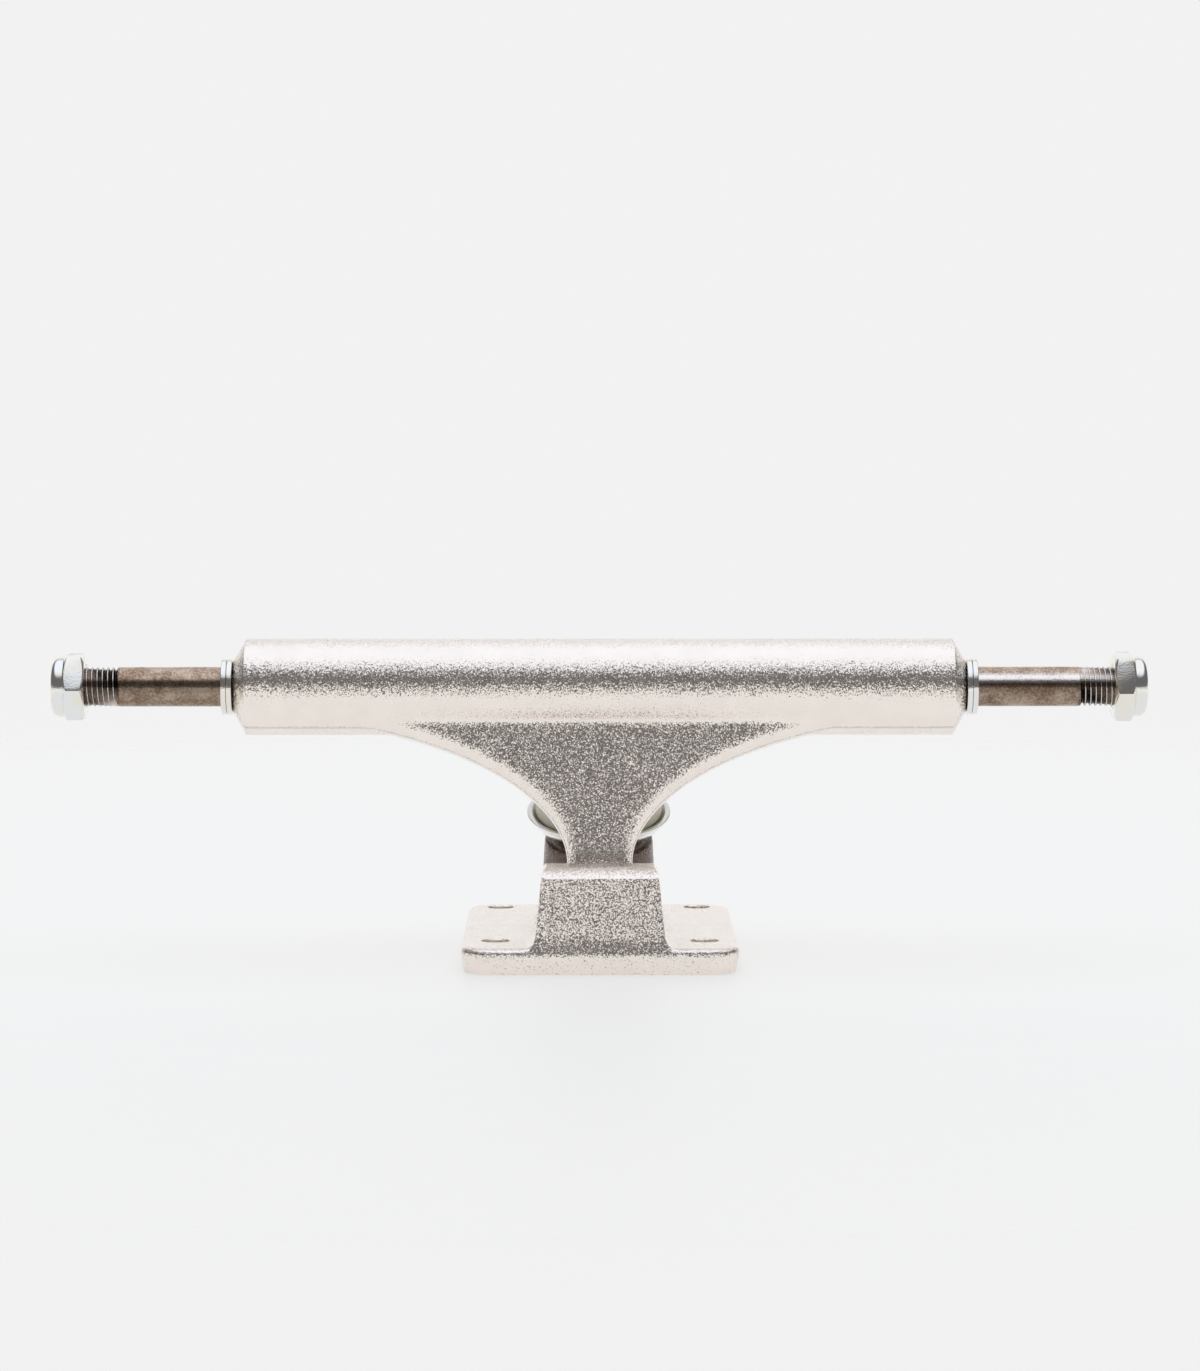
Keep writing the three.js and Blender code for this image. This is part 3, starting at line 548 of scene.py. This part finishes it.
class TRUCK_OT_stage(bpy.types.Operator):
    """Sets the pale floor, the soft light and the camera at the photograph's angle"""

    bl_idname = "truck.stage"
    bl_label = "Stage and camera"

    def execute(self, context):
        scene = context.scene
        scene.view_settings.view_transform = "Standard"
        self.camera(scene)
        self.floor(scene)
        self.sky(scene)
        bpy.ops.object.select_all(action="DESELECT")
        bpy.ops.object.light_add(type="AREA", location=(0, 0.3, 2.0))
        ceiling = context.object
        ceiling.name = "ceiling_light"
        ceiling.data.shape = "RECTANGLE"
        ceiling.data.size = 4.0
        ceiling.data.size_y = 2.7
        ceiling.data.energy = 4
        ceiling.data.color = linear("#dcecff")[:3]
        return {"FINISHED"}

    def camera(self, scene):
        bpy.ops.object.select_all(action="DESELECT")
        bpy.ops.object.camera_add(
            location=(-0.0045, -0.903, 0.121),
            rotation=(math.radians(90 - 4.25), 0, math.radians(-0.295)))
        camera = bpy.context.object
        camera.name = "camera"
        camera.data.sensor_width = 36
        camera.data.lens = 116.85
        camera.data.clip_start = 0.05
        scene.camera = camera

    def floor(self, scene):
        bpy.ops.object.select_all(action="DESELECT")
        bpy.ops.mesh.primitive_circle_add(vertices=128, radius=0.75, fill_type="NGON", location=(0, 0.1, 0))
        floor = new_piece("floor")
        material, tree, place = blank_material("pale_floor")
        away = add_node(tree, "ShaderNodeVectorMath", {0: place}, operation="LENGTH")
        near = add_node(tree, "ShaderNodeMapRange", {
            "Value": away, "From Min": 0.55, "From Max": 0.2}, interpolation_type="SMOOTHSTEP")
        side = add_node(tree, "ShaderNodeNewGeometry")
        above = add_node(tree, "ShaderNodeMath", {0: 1.0, 1: (side, "Backfacing")}, operation="SUBTRACT")
        amount = add_node(tree, "ShaderNodeMath", {0: near, 1: above}, operation="MULTIPLY")
        clear = add_node(tree, "ShaderNodeBsdfTransparent")
        pale = add_node(tree, "ShaderNodeBsdfPrincipled", {
            "Base Color": scene.truck_finishes.floor[:], "Roughness": 0.5, "Specular IOR Level": 0.2,
            "Emission Color": linear("#f5f2f0"), "Emission Strength": 0.605})
        mixed = add_node(tree, "ShaderNodeMixShader", {0: amount, 1: clear, 2: pale})
        add_node(tree, "ShaderNodeOutputMaterial", {"Surface": mixed})
        floor.data.materials.append(material)

    def sky(self, scene):
        """A bright ceiling, a pale backdrop behind the truck and dark walls elsewhere, as the metal's
        reflections show them. The camera itself sees the even pale backdrop."""
        world = bpy.data.worlds.new("pale_room")
        scene.world = world
        world.use_nodes = True
        tree = world.node_tree
        tree.nodes.clear()
        place = add_node(tree, "ShaderNodeTexCoord")
        parts = add_node(tree, "ShaderNodeSeparateXYZ", {"Vector": (place, "Generated")})

        beside, below, above, high = [
            add_node(tree, "ShaderNodeMapRange", {
                "Value": (parts, axis), "From Min": start, "From Max": end}, interpolation_type="SMOOTHSTEP")
            for axis, start, end in (("Y", 0.85, 0.65), ("Z", 0.8, 0.58), ("Z", -0.1, 0.04), ("Z", 0.5, 0.75))]
        walls = add_node(tree, "ShaderNodeMath", {0: beside, 1: below}, operation="MULTIPLY")
        walls = add_node(tree, "ShaderNodeMath", {0: walls, 1: above}, operation="MULTIPLY")
        room = add_node(tree, "ShaderNodeMix", {
            "Factor": high, "A": linear("#f8f8f8"), "B": linear("#f3f7ff")}, data_type="RGBA")
        room = add_node(tree, "ShaderNodeMix", {"Factor": walls, "A": room, "B": linear("#6a6868")}, data_type="RGBA")
        ray = add_node(tree, "ShaderNodeLightPath")
        seen = add_node(tree, "ShaderNodeMix", {
            "Factor": (ray, "Is Camera Ray"), "A": room, "B": linear("#f2f2f2")}, data_type="RGBA")
        light = add_node(tree, "ShaderNodeBackground", {"Color": seen, "Strength": 1.0})
        add_node(tree, "ShaderNodeOutputWorld", {"Surface": light})


# Castings


def funnel(top_half, neck_half, top_z, neck_z, bottom_z, rise_z, neck_share, top_share, drop_share):
    """The front outline of the web or yoke: wide at the barrel, curved in to a neck, straight below it. The
    shares place the curve's two handles."""
    span_x = top_half - neck_half
    span_z = top_z - neck_z
    bend_z = top_z - span_z * drop_share
    side = curve([
        (neck_half, neck_z), (neck_half, neck_z + span_z * neck_share),
        (top_half - span_x * top_share, bend_z), (top_half, top_z)])
    right = [(neck_half, bottom_z)] + side + [(top_half, rise_z)]
    left = [(-x, z) for x, z in reversed(right)]
    return right + left + [right[0]]


def bar(radius, start, end):
    """The profile of a plain round bar."""
    return [(0, start), (radius, start), (radius, end), (0, end)]


def ball_end(radius, end, steps=16):
    """The profile of a round bar that ends in half a ball around the height 0."""
    return [(0.0, -radius)] + arc((0, 0), radius, -90, 0, steps)[1:] + [(radius, end)]


class TRUCK_OT_hanger(bpy.types.Operator):
    """Models the hanger casting: web, yoke, ring, pivot nose and the round barrel with its tapered ends"""

    bl_idname = "truck.hanger"
    bl_label = "Hanger"

    def execute(self, context):
        ring_start, ring_end, ring_radius, ring_round = 37.0, 44.6, 13.4, 1.2
        web_depth, yoke_depth = 10.4, 53
        web_top = (-13.2, 48.4)
        outline = funnel(58.6, 6.5, 0, -28.7, -35.9, 6, 0.345, 0.72, 0.164)
        web = slab("web", outline, web_depth)
        round_edges(web, 2.8 * MM, angle=40, segments=6)
        lean = Matrix.Translation((0, web_top[0] * MM, web_top[1] * MM)) @ Matrix.Rotation(-WEB_LEAN, 4, "X")
        put(web, lean @ Matrix.Translation((0, -web_depth / 2 * MM, -0.4 * MM)))

        yoke = slab("yoke", funnel(24, 6, 50, 20, 9, 54, 0.47, 0.46, 0), yoke_depth)
        put(yoke, Matrix.Translation((0, -34.6 * MM, 0)))
        side = side_slab("yoke_side", [
            (AXLE_Y, AXLE_Z), (AXLE_Y + 7.5, 50),
            along_kingpin(ring_end + 0.9, -11.4), along_kingpin(41.7, 0), along_kingpin(39.9, 0),
            along_kingpin(ring_start - 0.9, -13.7), along_pivot(0, -6),
            (-19.27, 12.5), web_top, (AXLE_Y, AXLE_Z),
        ], 48)
        combine(yoke, "INTERSECT", side)
        arm_end = turned("arm_end", bar(60, -60, 7.3), PIVOT)
        combine(yoke, "UNION", web)
        combine(yoke, "DIFFERENCE", arm_end)

        ring = turned("ring", [(0, ring_start), (ring_radius, ring_start)]
                      + arc((ring_radius, ring_start + ring_round), ring_round, -90, 0, 5)
                      + arc((ring_radius, ring_end - ring_round), ring_round, 0, 90, 5)
                      + [(0, ring_end)], KINGPIN)
        nose = turned("nose", ball_end(4.5, 11.8) + [(0, 11.8)], PIVOT)
        barrel = turned("barrel", bar(BARREL_RADIUS, -66, 66), AXLE["right"], sides=192)
        true_barrel = turned("true_barrel", bar(BARREL_RADIUS, -90, 90), AXLE["right"], sides=192)
        pick(ring, nose, barrel, yoke)
        bpy.ops.object.join()
        casting = new_piece("hanger_casting")
        modify(casting, "REMESH", mode="VOXEL", voxel_size=context.scene.truck_sizes.cast_voxel)

        def on_barrel(point):
            """1 where nothing meets the barrel, so that it stays truly round there."""
            if math.hypot(point.y - AXLE_Y, point.z - AXLE_Z) < BARREL_RADIUS - 0.9:
                return 0.0
            out = smooth_step(abs(point.x), 50, 55)
            ahead = AXLE_Y - point.y
            below = AXLE_Z - point.z
            angle = math.degrees(math.atan2(-below, ahead if ahead > 0 else -ahead))
            start = -24 if ahead > 0 else (20 if abs(point.x) < 30 else -20)
            return max(out, smooth_step(angle, start, start + 12))

        weigh(casting, "cast", lambda point: 1.0 - on_barrel(point))
        weigh(casting, "barrel", on_barrel)
        modify(casting, "SMOOTH", factor=0.5, iterations=8, vertex_group="cast")
        modify(casting, "SHRINKWRAP", target=true_barrel, wrap_method="NEAREST_SURFACEPOINT", vertex_group="barrel")
        bpy.data.objects.remove(true_barrel)
        self.barrel_ends(casting)
        combine(casting, "DIFFERENCE", *[turned("cut", bar(*sizes), KINGPIN) for sizes in (
            (7.6, 33, 48.6), (12.7, 33, 38), (11.7, 43.6, 48.6), (14.3, 44.9, 54.6))])
        combine(casting, "DIFFERENCE", turned("bore", bar(AXLE_BORE, -80, 80), AXLE["right"]))
        dress(casting, finish_named("tumbled_aluminium_hanger"), "hanger", ["hanger"], 35)
        return {"FINISHED"}

    def barrel_ends(self, casting):
        """Cuts the barrel square and draws its plain end and cone out of the cut."""
        cut, plain = 60, 10.65
        cone = ((0.25, 9.64), (0.25, 9.3), (2.45, 5.0))
        pick(casting)
        bpy.ops.object.mode_set(mode="EDIT")
        for side in (-1, 1):
            bpy.ops.mesh.select_all(action="SELECT")
            bpy.ops.mesh.bisect(
                plane_co=(side * cut * MM, 0, 0), plane_no=(side, 0, 0), use_fill=False, clear_outer=True)
            bpy.ops.mesh.extrude_region_move(TRANSFORM_OT_translate={"value": (side * plain * MM, 0, 0)})
            previous = BARREL_RADIUS
            for step, radius in cone:
                bpy.ops.mesh.extrude_region_move(TRANSFORM_OT_translate={"value": (side * step * MM, 0, 0)})
                share = radius / previous
                bpy.ops.transform.resize(
                    value=(1, share, share), center_override=(0, AXLE_Y * MM, AXLE_Z * MM))
                previous = radius
            bpy.ops.mesh.edge_face_add()
        bpy.ops.mesh.select_all(action="SELECT")
        bpy.ops.mesh.normals_make_consistent(inside=False)
        bpy.ops.object.mode_set(mode="OBJECT")


class TRUCK_OT_baseplate(bpy.types.Operator):
    """Models the baseplate casting: plate, pivot housing and kingpin boss, with their holes and sockets"""

    bl_idname = "truck.baseplate"
    bl_label = "Baseplate"

    def execute(self, context):
        plate_middle, plate_size = (0, -3.5, 0.6), (55, 72.975, 9.2)
        bpy.ops.object.select_all(action="DESELECT")
        bpy.ops.mesh.primitive_cube_add(size=MM)
        plate = new_piece("plate")
        put(plate, Matrix.Translation([c * MM for c in plate_middle]) @ Matrix.Diagonal((*plate_size, 1)))
        bpy.ops.object.mode_set(mode="EDIT")
        self.select_edges(plate, lambda a, b: abs(a.z - b.z) > 1 * MM)
        bpy.ops.mesh.bevel(offset=6 * MM, segments=14, affect="EDGES")
        self.select_edges(plate, lambda a, b: min(a.z, b.z) > 5 * MM)
        bpy.ops.mesh.bevel(offset=1.2 * MM, segments=5, affect="EDGES")
        # Below its parting line the plate narrows, so that its walls face the floor
        self.select_edges(plate, lambda a, b: max(a.z, b.z) < 0)
        bpy.ops.transform.resize(value=(0.949, 0.9616, 1), center_override=(0, plate_middle[1] * MM, 0))
        bpy.ops.object.mode_set(mode="OBJECT")

        # Half of the housing's front outline, with a hollow fillet to the plate at each foot
        top, corner, foot_x = 21.2, 2.2, 14.9
        half = ([(foot_x, 2.6)] + arc((foot_x, 7.2), 2.1, 270, 185, 8)
                + arc((9.35, top - corner), corner, 0, 90, 8))
        outline = half + [(-x, z) for x, z in reversed(half)] + [half[0]]
        housing = slab("housing", outline, 31.8)
        put(housing, Matrix.Translation((0, -39.9875 * MM, 0)))
        side = side_slab("housing_side", [
            (-38.5, -0.5), along_pivot(6, -top), along_pivot(6, top), (-38.65, top), (-39.3, 7.1), (-39.45, 6.1),
            (-39.65, 5.3), (-39.4, 4.6), (-38.6, 3), (-38.5, -0.5)], 30)
        combine(housing, "INTERSECT", side)
        round_edges(housing, 1.1 * MM, angle=60, segments=4)
        boss = turned("boss", [(0, -12.4), (13.02, -12.4), (11.3, 21)] + arc((10.3, 21), 1, 0, 90, 5)
                      + [(0, 22)], KINGPIN)
        pick(housing, boss, plate)
        bpy.ops.object.join()
        casting = new_piece("baseplate_casting")
        modify(casting, "REMESH", mode="VOXEL", voxel_size=context.scene.truck_sizes.cast_voxel * 0.95)
        modify(casting, "SMOOTH", factor=0.5, iterations=6)

        # The housing's brow rises from a crease in its front face and rounds back into its top
        brow = side_slab("brow", arc((-34.15, 14.3), 6.5, 152, 88.5, 18) + [
            (-24, 20.53), (-24, 30), (-46, 30), (-46, 17.3), (-39.9, 17.3)], 20)
        combine(casting, "DIFFERENCE", brow)
        bpy.ops.object.select_all(action="DESELECT")
        bpy.ops.mesh.primitive_cube_add(size=0.2, location=(0, 0, -0.1))
        below = new_piece("below")
        combine(casting, "DIFFERENCE", put(below, below.matrix_world.copy()))
        hole_x, hole_y, hole_radius = 20.6375, 26.9875, 2.7
        for side_x in (-1, 1):
            for side_y in (-1, 1):
                place = Matrix.Translation((side_x * hole_x * MM, side_y * hole_y * MM, 0))
                hole = turned("hole", [
                    (0, -2), (hole_radius, -2), (hole_radius, 4.95), (hole_radius + 0.25, 5.25),
                    (hole_radius + 0.25, 9), (0, 9)], place)
                combine(casting, "DIFFERENCE", hole)
        bore = turned("bore", bar(5.0, 0, 26), KINGPIN)
        pocket = put(hexagonal_bar("pocket", 14.9, -8.4, 8.4), KINGPIN)
        socket = turned("socket", ball_end(6.9, 12) + [(0, 12)], PIVOT)
        combine(casting, "DIFFERENCE", bore, pocket, socket)
        dress(casting, finish_named("tumbled_aluminium_baseplate"), "base", ["baseplate"], 32)
        return {"FINISHED"}

    def select_edges(self, piece, wanted):
        """Selects the edges whose ends fit, and leaves edit mode in edge selection."""
        bpy.ops.mesh.select_mode(type="EDGE")
        bpy.ops.mesh.select_all(action="DESELECT")
        bpy.ops.object.mode_set(mode="OBJECT")
        for edge in piece.data.edges:
            ends = [piece.data.vertices[i].co for i in edge.vertices]
            edge.select = bool(wanted(*ends))
        bpy.ops.object.mode_set(mode="EDIT")


# Pieces on the kingpin


class TRUCK_OT_pivot_cup(bpy.types.Operator):
    """Models the plastic cup that the pivot nose turns in"""

    bl_idname = "truck.pivot_cup"
    bl_label = "Pivot cup"

    def execute(self, context):
        inside, outside, rim, rim_round = 4.8, 6.6, 6.5, 0.3
        outer = ball_end(outside, rim) + arc((outside - rim_round, rim), rim_round, 0, 90, 3)
        inner = arc((inside + rim_round, rim), rim_round, 90, 180, 3) + list(reversed(ball_end(inside, rim)))
        cup = turned("pivot_cup_moulding", outer + inner, PIVOT)
        dress(cup, finish_named("moulded_plastic"), "base", ["pivot_cup"])
        return {"FINISHED"}


def threaded(name, radius, depth, start, end, place):
    """A threaded length of rod: a round section with one tooth in it, twisted along its line."""
    pitch = bpy.context.scene.truck_sizes.thread_pitch
    section_points, steps_per_turn = 48, 26
    half_valley, flank = 0.06, 0.36
    bpy.ops.object.select_all(action="DESELECT")
    bpy.ops.mesh.primitive_circle_add(
        vertices=section_points, radius=radius * MM, fill_type="NOTHING", location=(0, 0, start * MM))
    piece = new_piece(name)
    bpy.ops.object.transform_apply(location=True, rotation=True, scale=True)
    for vertex in piece.data.vertices:
        turn = math.atan2(vertex.co.y, vertex.co.x) / math.tau % 1
        tooth = min(1.0, max(0.0, (0.5 - abs(turn - 0.5) - half_valley) / flank))
        share = 1 - depth / radius * (1 - tooth)
        vertex.co.x *= share
        vertex.co.y *= share
    turns = (end - start) * MM / pitch
    steps = int(turns * steps_per_turn)
    modify(piece, "SCREW", axis="Z", angle=math.tau * turns, screw_offset=(end - start) * MM,
           steps=steps, render_steps=steps, use_smooth_shade=False)
    pick(piece)
    bpy.ops.object.mode_set(mode="EDIT")
    bpy.ops.mesh.select_all(action="DESELECT")
    bpy.ops.mesh.select_mode(type="EDGE")
    bpy.ops.mesh.select_non_manifold()
    bpy.ops.mesh.fill()
    close_shell()
    return put(piece, place)


class TRUCK_OT_kingpin(bpy.types.Operator):
    """Models the kingpin with its hexagonal head and threaded end"""

    bl_idname = "truck.kingpin"
    bl_label = "Kingpin"

    def execute(self, context):
        radius, foot, head_end, tip_end = 4.76, 3.1, 8.3, 63
        shank = turned("kingpin_bolt", [
            (0, foot), (radius, foot), (radius, 45.5), (4.3, 46), (0, 46)], KINGPIN)
        head = hexagon("head", 14.3, foot, head_end, [
            (0, foot), (6.5, foot), (9, 4.4), (9, head_end), (0, head_end)], KINGPIN)
        thread = threaded("thread", 4.74, 0.55, 44, 64.5, KINGPIN)
        tip = turned("tip", [(0, 0), (9, 0), (9, 57), (5.2, 61.6), (3.9, tip_end), (0, tip_end)], KINGPIN)
        combine(thread, "INTERSECT", tip)
        combine(shank, "UNION", head, thread)
        dress(shank, finish_named("rolled_steel"), "base", ["kingpin"])
        return {"FINISHED"}


class TRUCK_OT_washers(bpy.types.Operator):
    """Models the two cup washers that hold the bushings"""

    bl_idname = "truck.washers"
    bl_label = "Cup washers"

    def execute(self, context):
        for name, node, profile in (
            ("bottom_cup_washer", "bottom_washer", [
                (KINGPIN_BORE, 22.3), (9, 22.3), (12.8, 24.6), (15, 27.0), (15, 27.5), (13.95, 27.5),
                (10.4, 24.1), (KINGPIN_BORE, 24.1), (KINGPIN_BORE, 22.3)]),
            ("top_cup_washer", "top_washer", [
                (KINGPIN_BORE, 53.1), (10.2, 53.1), (10.8, 51.6), (12, 51.6), (10.9, 54.3),
                (KINGPIN_BORE, 54.3), (KINGPIN_BORE, 53.1)]),
        ):
            washer = turned(name, profile, KINGPIN, context.scene.truck_sizes.edge_round)
            dress(washer, finish_named("zinc_plated_steel"), "base", [node])
        return {"FINISHED"}


class TRUCK_OT_bushings(bpy.types.Operator):
    """Models the two urethane bushings between the baseplate's side and the hanger's"""

    bl_idname = "truck.bushings"
    bl_label = "Bushings"

    def execute(self, context):
        for which, washer_end, ring_end, rounding, profile in (
            ("bottom", 24.4, 37.7, 0.45 * MM, [
                (10.3, 24.4), (13.2, 27.2), (13.2, 31), (12.4, 36.7), (12.4, 37.7)]),
            ("top", 52.8, 43.9, 0.35 * MM, [(11.4, 43.9), (11.4, 44.9), (9.9, 51.3), (9.9, 52.8)]),
        ):
            first, last = profile[0][1], profile[-1][1]
            profile = [(KINGPIN_BORE, first), *profile, (KINGPIN_BORE, last), (KINGPIN_BORE, first)]
            bushing = turned(f"{which}_bushing_urethane", profile, KINGPIN, rounding)
            dress(bushing, finish_named("poured_urethane"), None, [f"{which}_bushing"])
            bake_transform(bushing)
        return {"FINISHED"}


def lock_nut(name, flats, hex_height, height, collar, bore, groove, start, place):
    """A lock nut: a hexagon with turned corners, a round collar rolled over a nylon ring, and its bore."""
    face, reach, edge = flats / 2 * 0.95, flats * 0.6, 1.5
    lip, relief, chamfer = 0.45, 0.3, 0.6
    drop = (reach - face) * CORNER_SLOPE
    hex_end = start + hex_height
    end = start + height
    envelope = ([(0, start), (face, start), (reach, start + drop), (reach, hex_end - drop),
                 (collar, hex_end - (collar - face) * CORNER_SLOPE)]
                + arc((collar - edge, end - edge), edge, 0, 90, 8) + [(0, end)])
    nut = hexagon(name, flats, start - 1, end + 1, envelope, Matrix.Identity(4))
    hole = turned("hole", [
        (0, start - 2), (bore + chamfer, start - 2), (bore + chamfer, start), (bore, start + chamfer),
        (bore, hex_end), (groove, hex_end), (groove, end - lip), (bore + relief, end - relief),
        (bore + relief, end + 2), (0, end + 2)], Matrix.Identity(4))
    combine(nut, "DIFFERENCE", hole)
    round_edges(nut, bpy.context.scene.truck_sizes.edge_round * 0.8, angle=28, segments=2)
    return put(nut, place)


def nut_ring(name, inner, outer, start, end, place):
    """The nylon ring of a lock nut."""
    profile = [(inner, start), (outer, start), (outer, end), (inner, end), (inner, start)]
    return turned(name, profile, place, 0.1 * MM)


class TRUCK_OT_kingpin_nut(bpy.types.Operator):
    """Models the lock nut at the top of the kingpin, with its nylon ring"""

    bl_idname = "truck.kingpin_nut"
    bl_label = "Kingpin nut"

    def execute(self, context):
        bore = 4.8
        nut = lock_nut("kingpin_lock_nut", flats=14.3, hex_height=5.2, height=7.0, collar=6.9, bore=bore,
                       groove=6.15, start=54.6, place=KINGPIN)
        dress(nut, finish_named("zinc_plated_steel"), "kingpin_nut", ["kingpin_nut"])
        ring = nut_ring("kingpin_nylon_ring", bore, 5.95, 60.0, 61.1, KINGPIN)
        dress(ring, finish_named("moulded_nylon"), "kingpin_nut_travel", ["kingpin_nut_insert"])
        return {"FINISHED"}


# Pieces on the axle


class TRUCK_OT_axle(bpy.types.Operator):
    """Models the axle, a ground rod with a rolled thread at each end"""

    bl_idname = "truck.axle"
    bl_label = "Axle"

    def execute(self, context):
        radius, plain_end, tip_end = 3.97, 96.6, 105.9
        shank = turned("axle_rod", [
            (0, -plain_end), (3.45, -plain_end), (radius, -96.2), (radius, 96.2), (3.45, plain_end),
            (0, plain_end)], AXLE["right"])
        for side in ("right", "left"):
            thread = threaded("thread", 3.95, 0.68, 96.0, 107.0, AXLE[side])
            tip = turned("tip", [
                (0, 90), (6, 90), (6, 103.2), (3.12, tip_end), (0, tip_end)], AXLE[side])
            combine(thread, "INTERSECT", tip)
            combine(shank, "UNION", thread)
        dress(shank, finish_named("heat_treated_steel"), "hanger", ["axle"], 40)
        return {"FINISHED"}


class TRUCK_OT_speed_rings(bpy.types.Operator):
    """Models the four thin speed rings beside the hanger"""

    bl_idname = "truck.speed_rings"
    bl_label = "Speed rings"

    def execute(self, context):
        bore, radius, thickness = 4.05, 5.65, 1.05
        for side, place in AXLE.items():
            for which, start in (("inner", 73.65), ("outer", 74.75)):
                end = start + thickness
                ring = turned(f"speed_ring_{side}_{which}_plated", [
                    (bore, start), (radius, start), (radius, end), (bore, end), (bore, start)],
                    place, context.scene.truck_sizes.edge_round)
                dress(ring, finish_named("zinc_plated_steel"), f"speed_rings_{side}",
                      [f"speed_ring_{side}_{which}"])
        return {"FINISHED"}


class TRUCK_OT_axle_nuts(bpy.types.Operator):
    """Models the two axle lock nuts with their nylon rings"""

    bl_idname = "truck.axle_nuts"
    bl_label = "Axle nuts"

    def execute(self, context):
        turns = {"right": math.radians(8), "left": math.radians(-2.5)}
        for side, place in AXLE.items():
            turn = Matrix.Rotation(turns[side], 4, "Z")
            nut = lock_nut(f"axle_lock_nut_{side}", flats=12.7, hex_height=4.2, height=6.7, collar=6.0,
                           bore=AXLE_BORE, groove=5.0, start=103.1, place=place @ turn)
            dress(nut, finish_named("zinc_plated_steel"), f"axle_nut_{side}", [f"axle_nut_{side}"])
            ring = nut_ring(f"axle_nylon_ring_{side}", AXLE_BORE, 4.8, 107.6, 109.05, place)
            dress(ring, finish_named("moulded_nylon"), f"axle_nut_{side}_travel", [f"axle_nut_insert_{side}"])
        return {"FINISHED"}


# Panel and start

STEPS = (
    TRUCK_OT_stage, TRUCK_OT_baseplate, TRUCK_OT_pivot_cup, TRUCK_OT_hanger, TRUCK_OT_kingpin, TRUCK_OT_washers,
    TRUCK_OT_bushings, TRUCK_OT_kingpin_nut, TRUCK_OT_axle, TRUCK_OT_speed_rings, TRUCK_OT_axle_nuts,
)


class TRUCK_PT_panel(bpy.types.Panel):
    """Lists the truck's settings and the step of each piece"""

    bl_idname = "TRUCK_PT_panel"
    bl_label = "Skateboard truck"
    bl_space_type = "VIEW_3D"
    bl_region_type = "UI"
    bl_category = "Truck"

    def draw(self, context):
        layout = self.layout
        for group in (context.scene.truck_sizes, context.scene.truck_finishes):
            for name in group.bl_rna.properties.keys():
                if name not in ("rna_type", "name"):
                    layout.prop(group, name)
        for step in STEPS:
            layout.operator(step.bl_idname)


CLASSES = (TruckSizes, TruckFinishes, *STEPS, TRUCK_PT_panel)


def register():
    for cls in CLASSES:
        bpy.utils.register_class(cls)
    bpy.types.Scene.truck_sizes = PointerProperty(type=TruckSizes)
    bpy.types.Scene.truck_finishes = PointerProperty(type=TruckFinishes)


def unregister():
    del bpy.types.Scene.truck_finishes
    del bpy.types.Scene.truck_sizes
    for cls in reversed(CLASSES):
        bpy.utils.unregister_class(cls)


def main():
    register()
    bpy.ops.truck.stage()
    bpy.ops.truck.baseplate()
    bpy.ops.truck.pivot_cup()
    bpy.ops.truck.hanger()
    bpy.ops.truck.kingpin()
    bpy.ops.truck.washers()
    bpy.ops.truck.bushings()
    bpy.ops.truck.kingpin_nut()
    bpy.ops.truck.axle()
    bpy.ops.truck.speed_rings()
    bpy.ops.truck.axle_nuts()


if __name__ == "__main__":
    main()
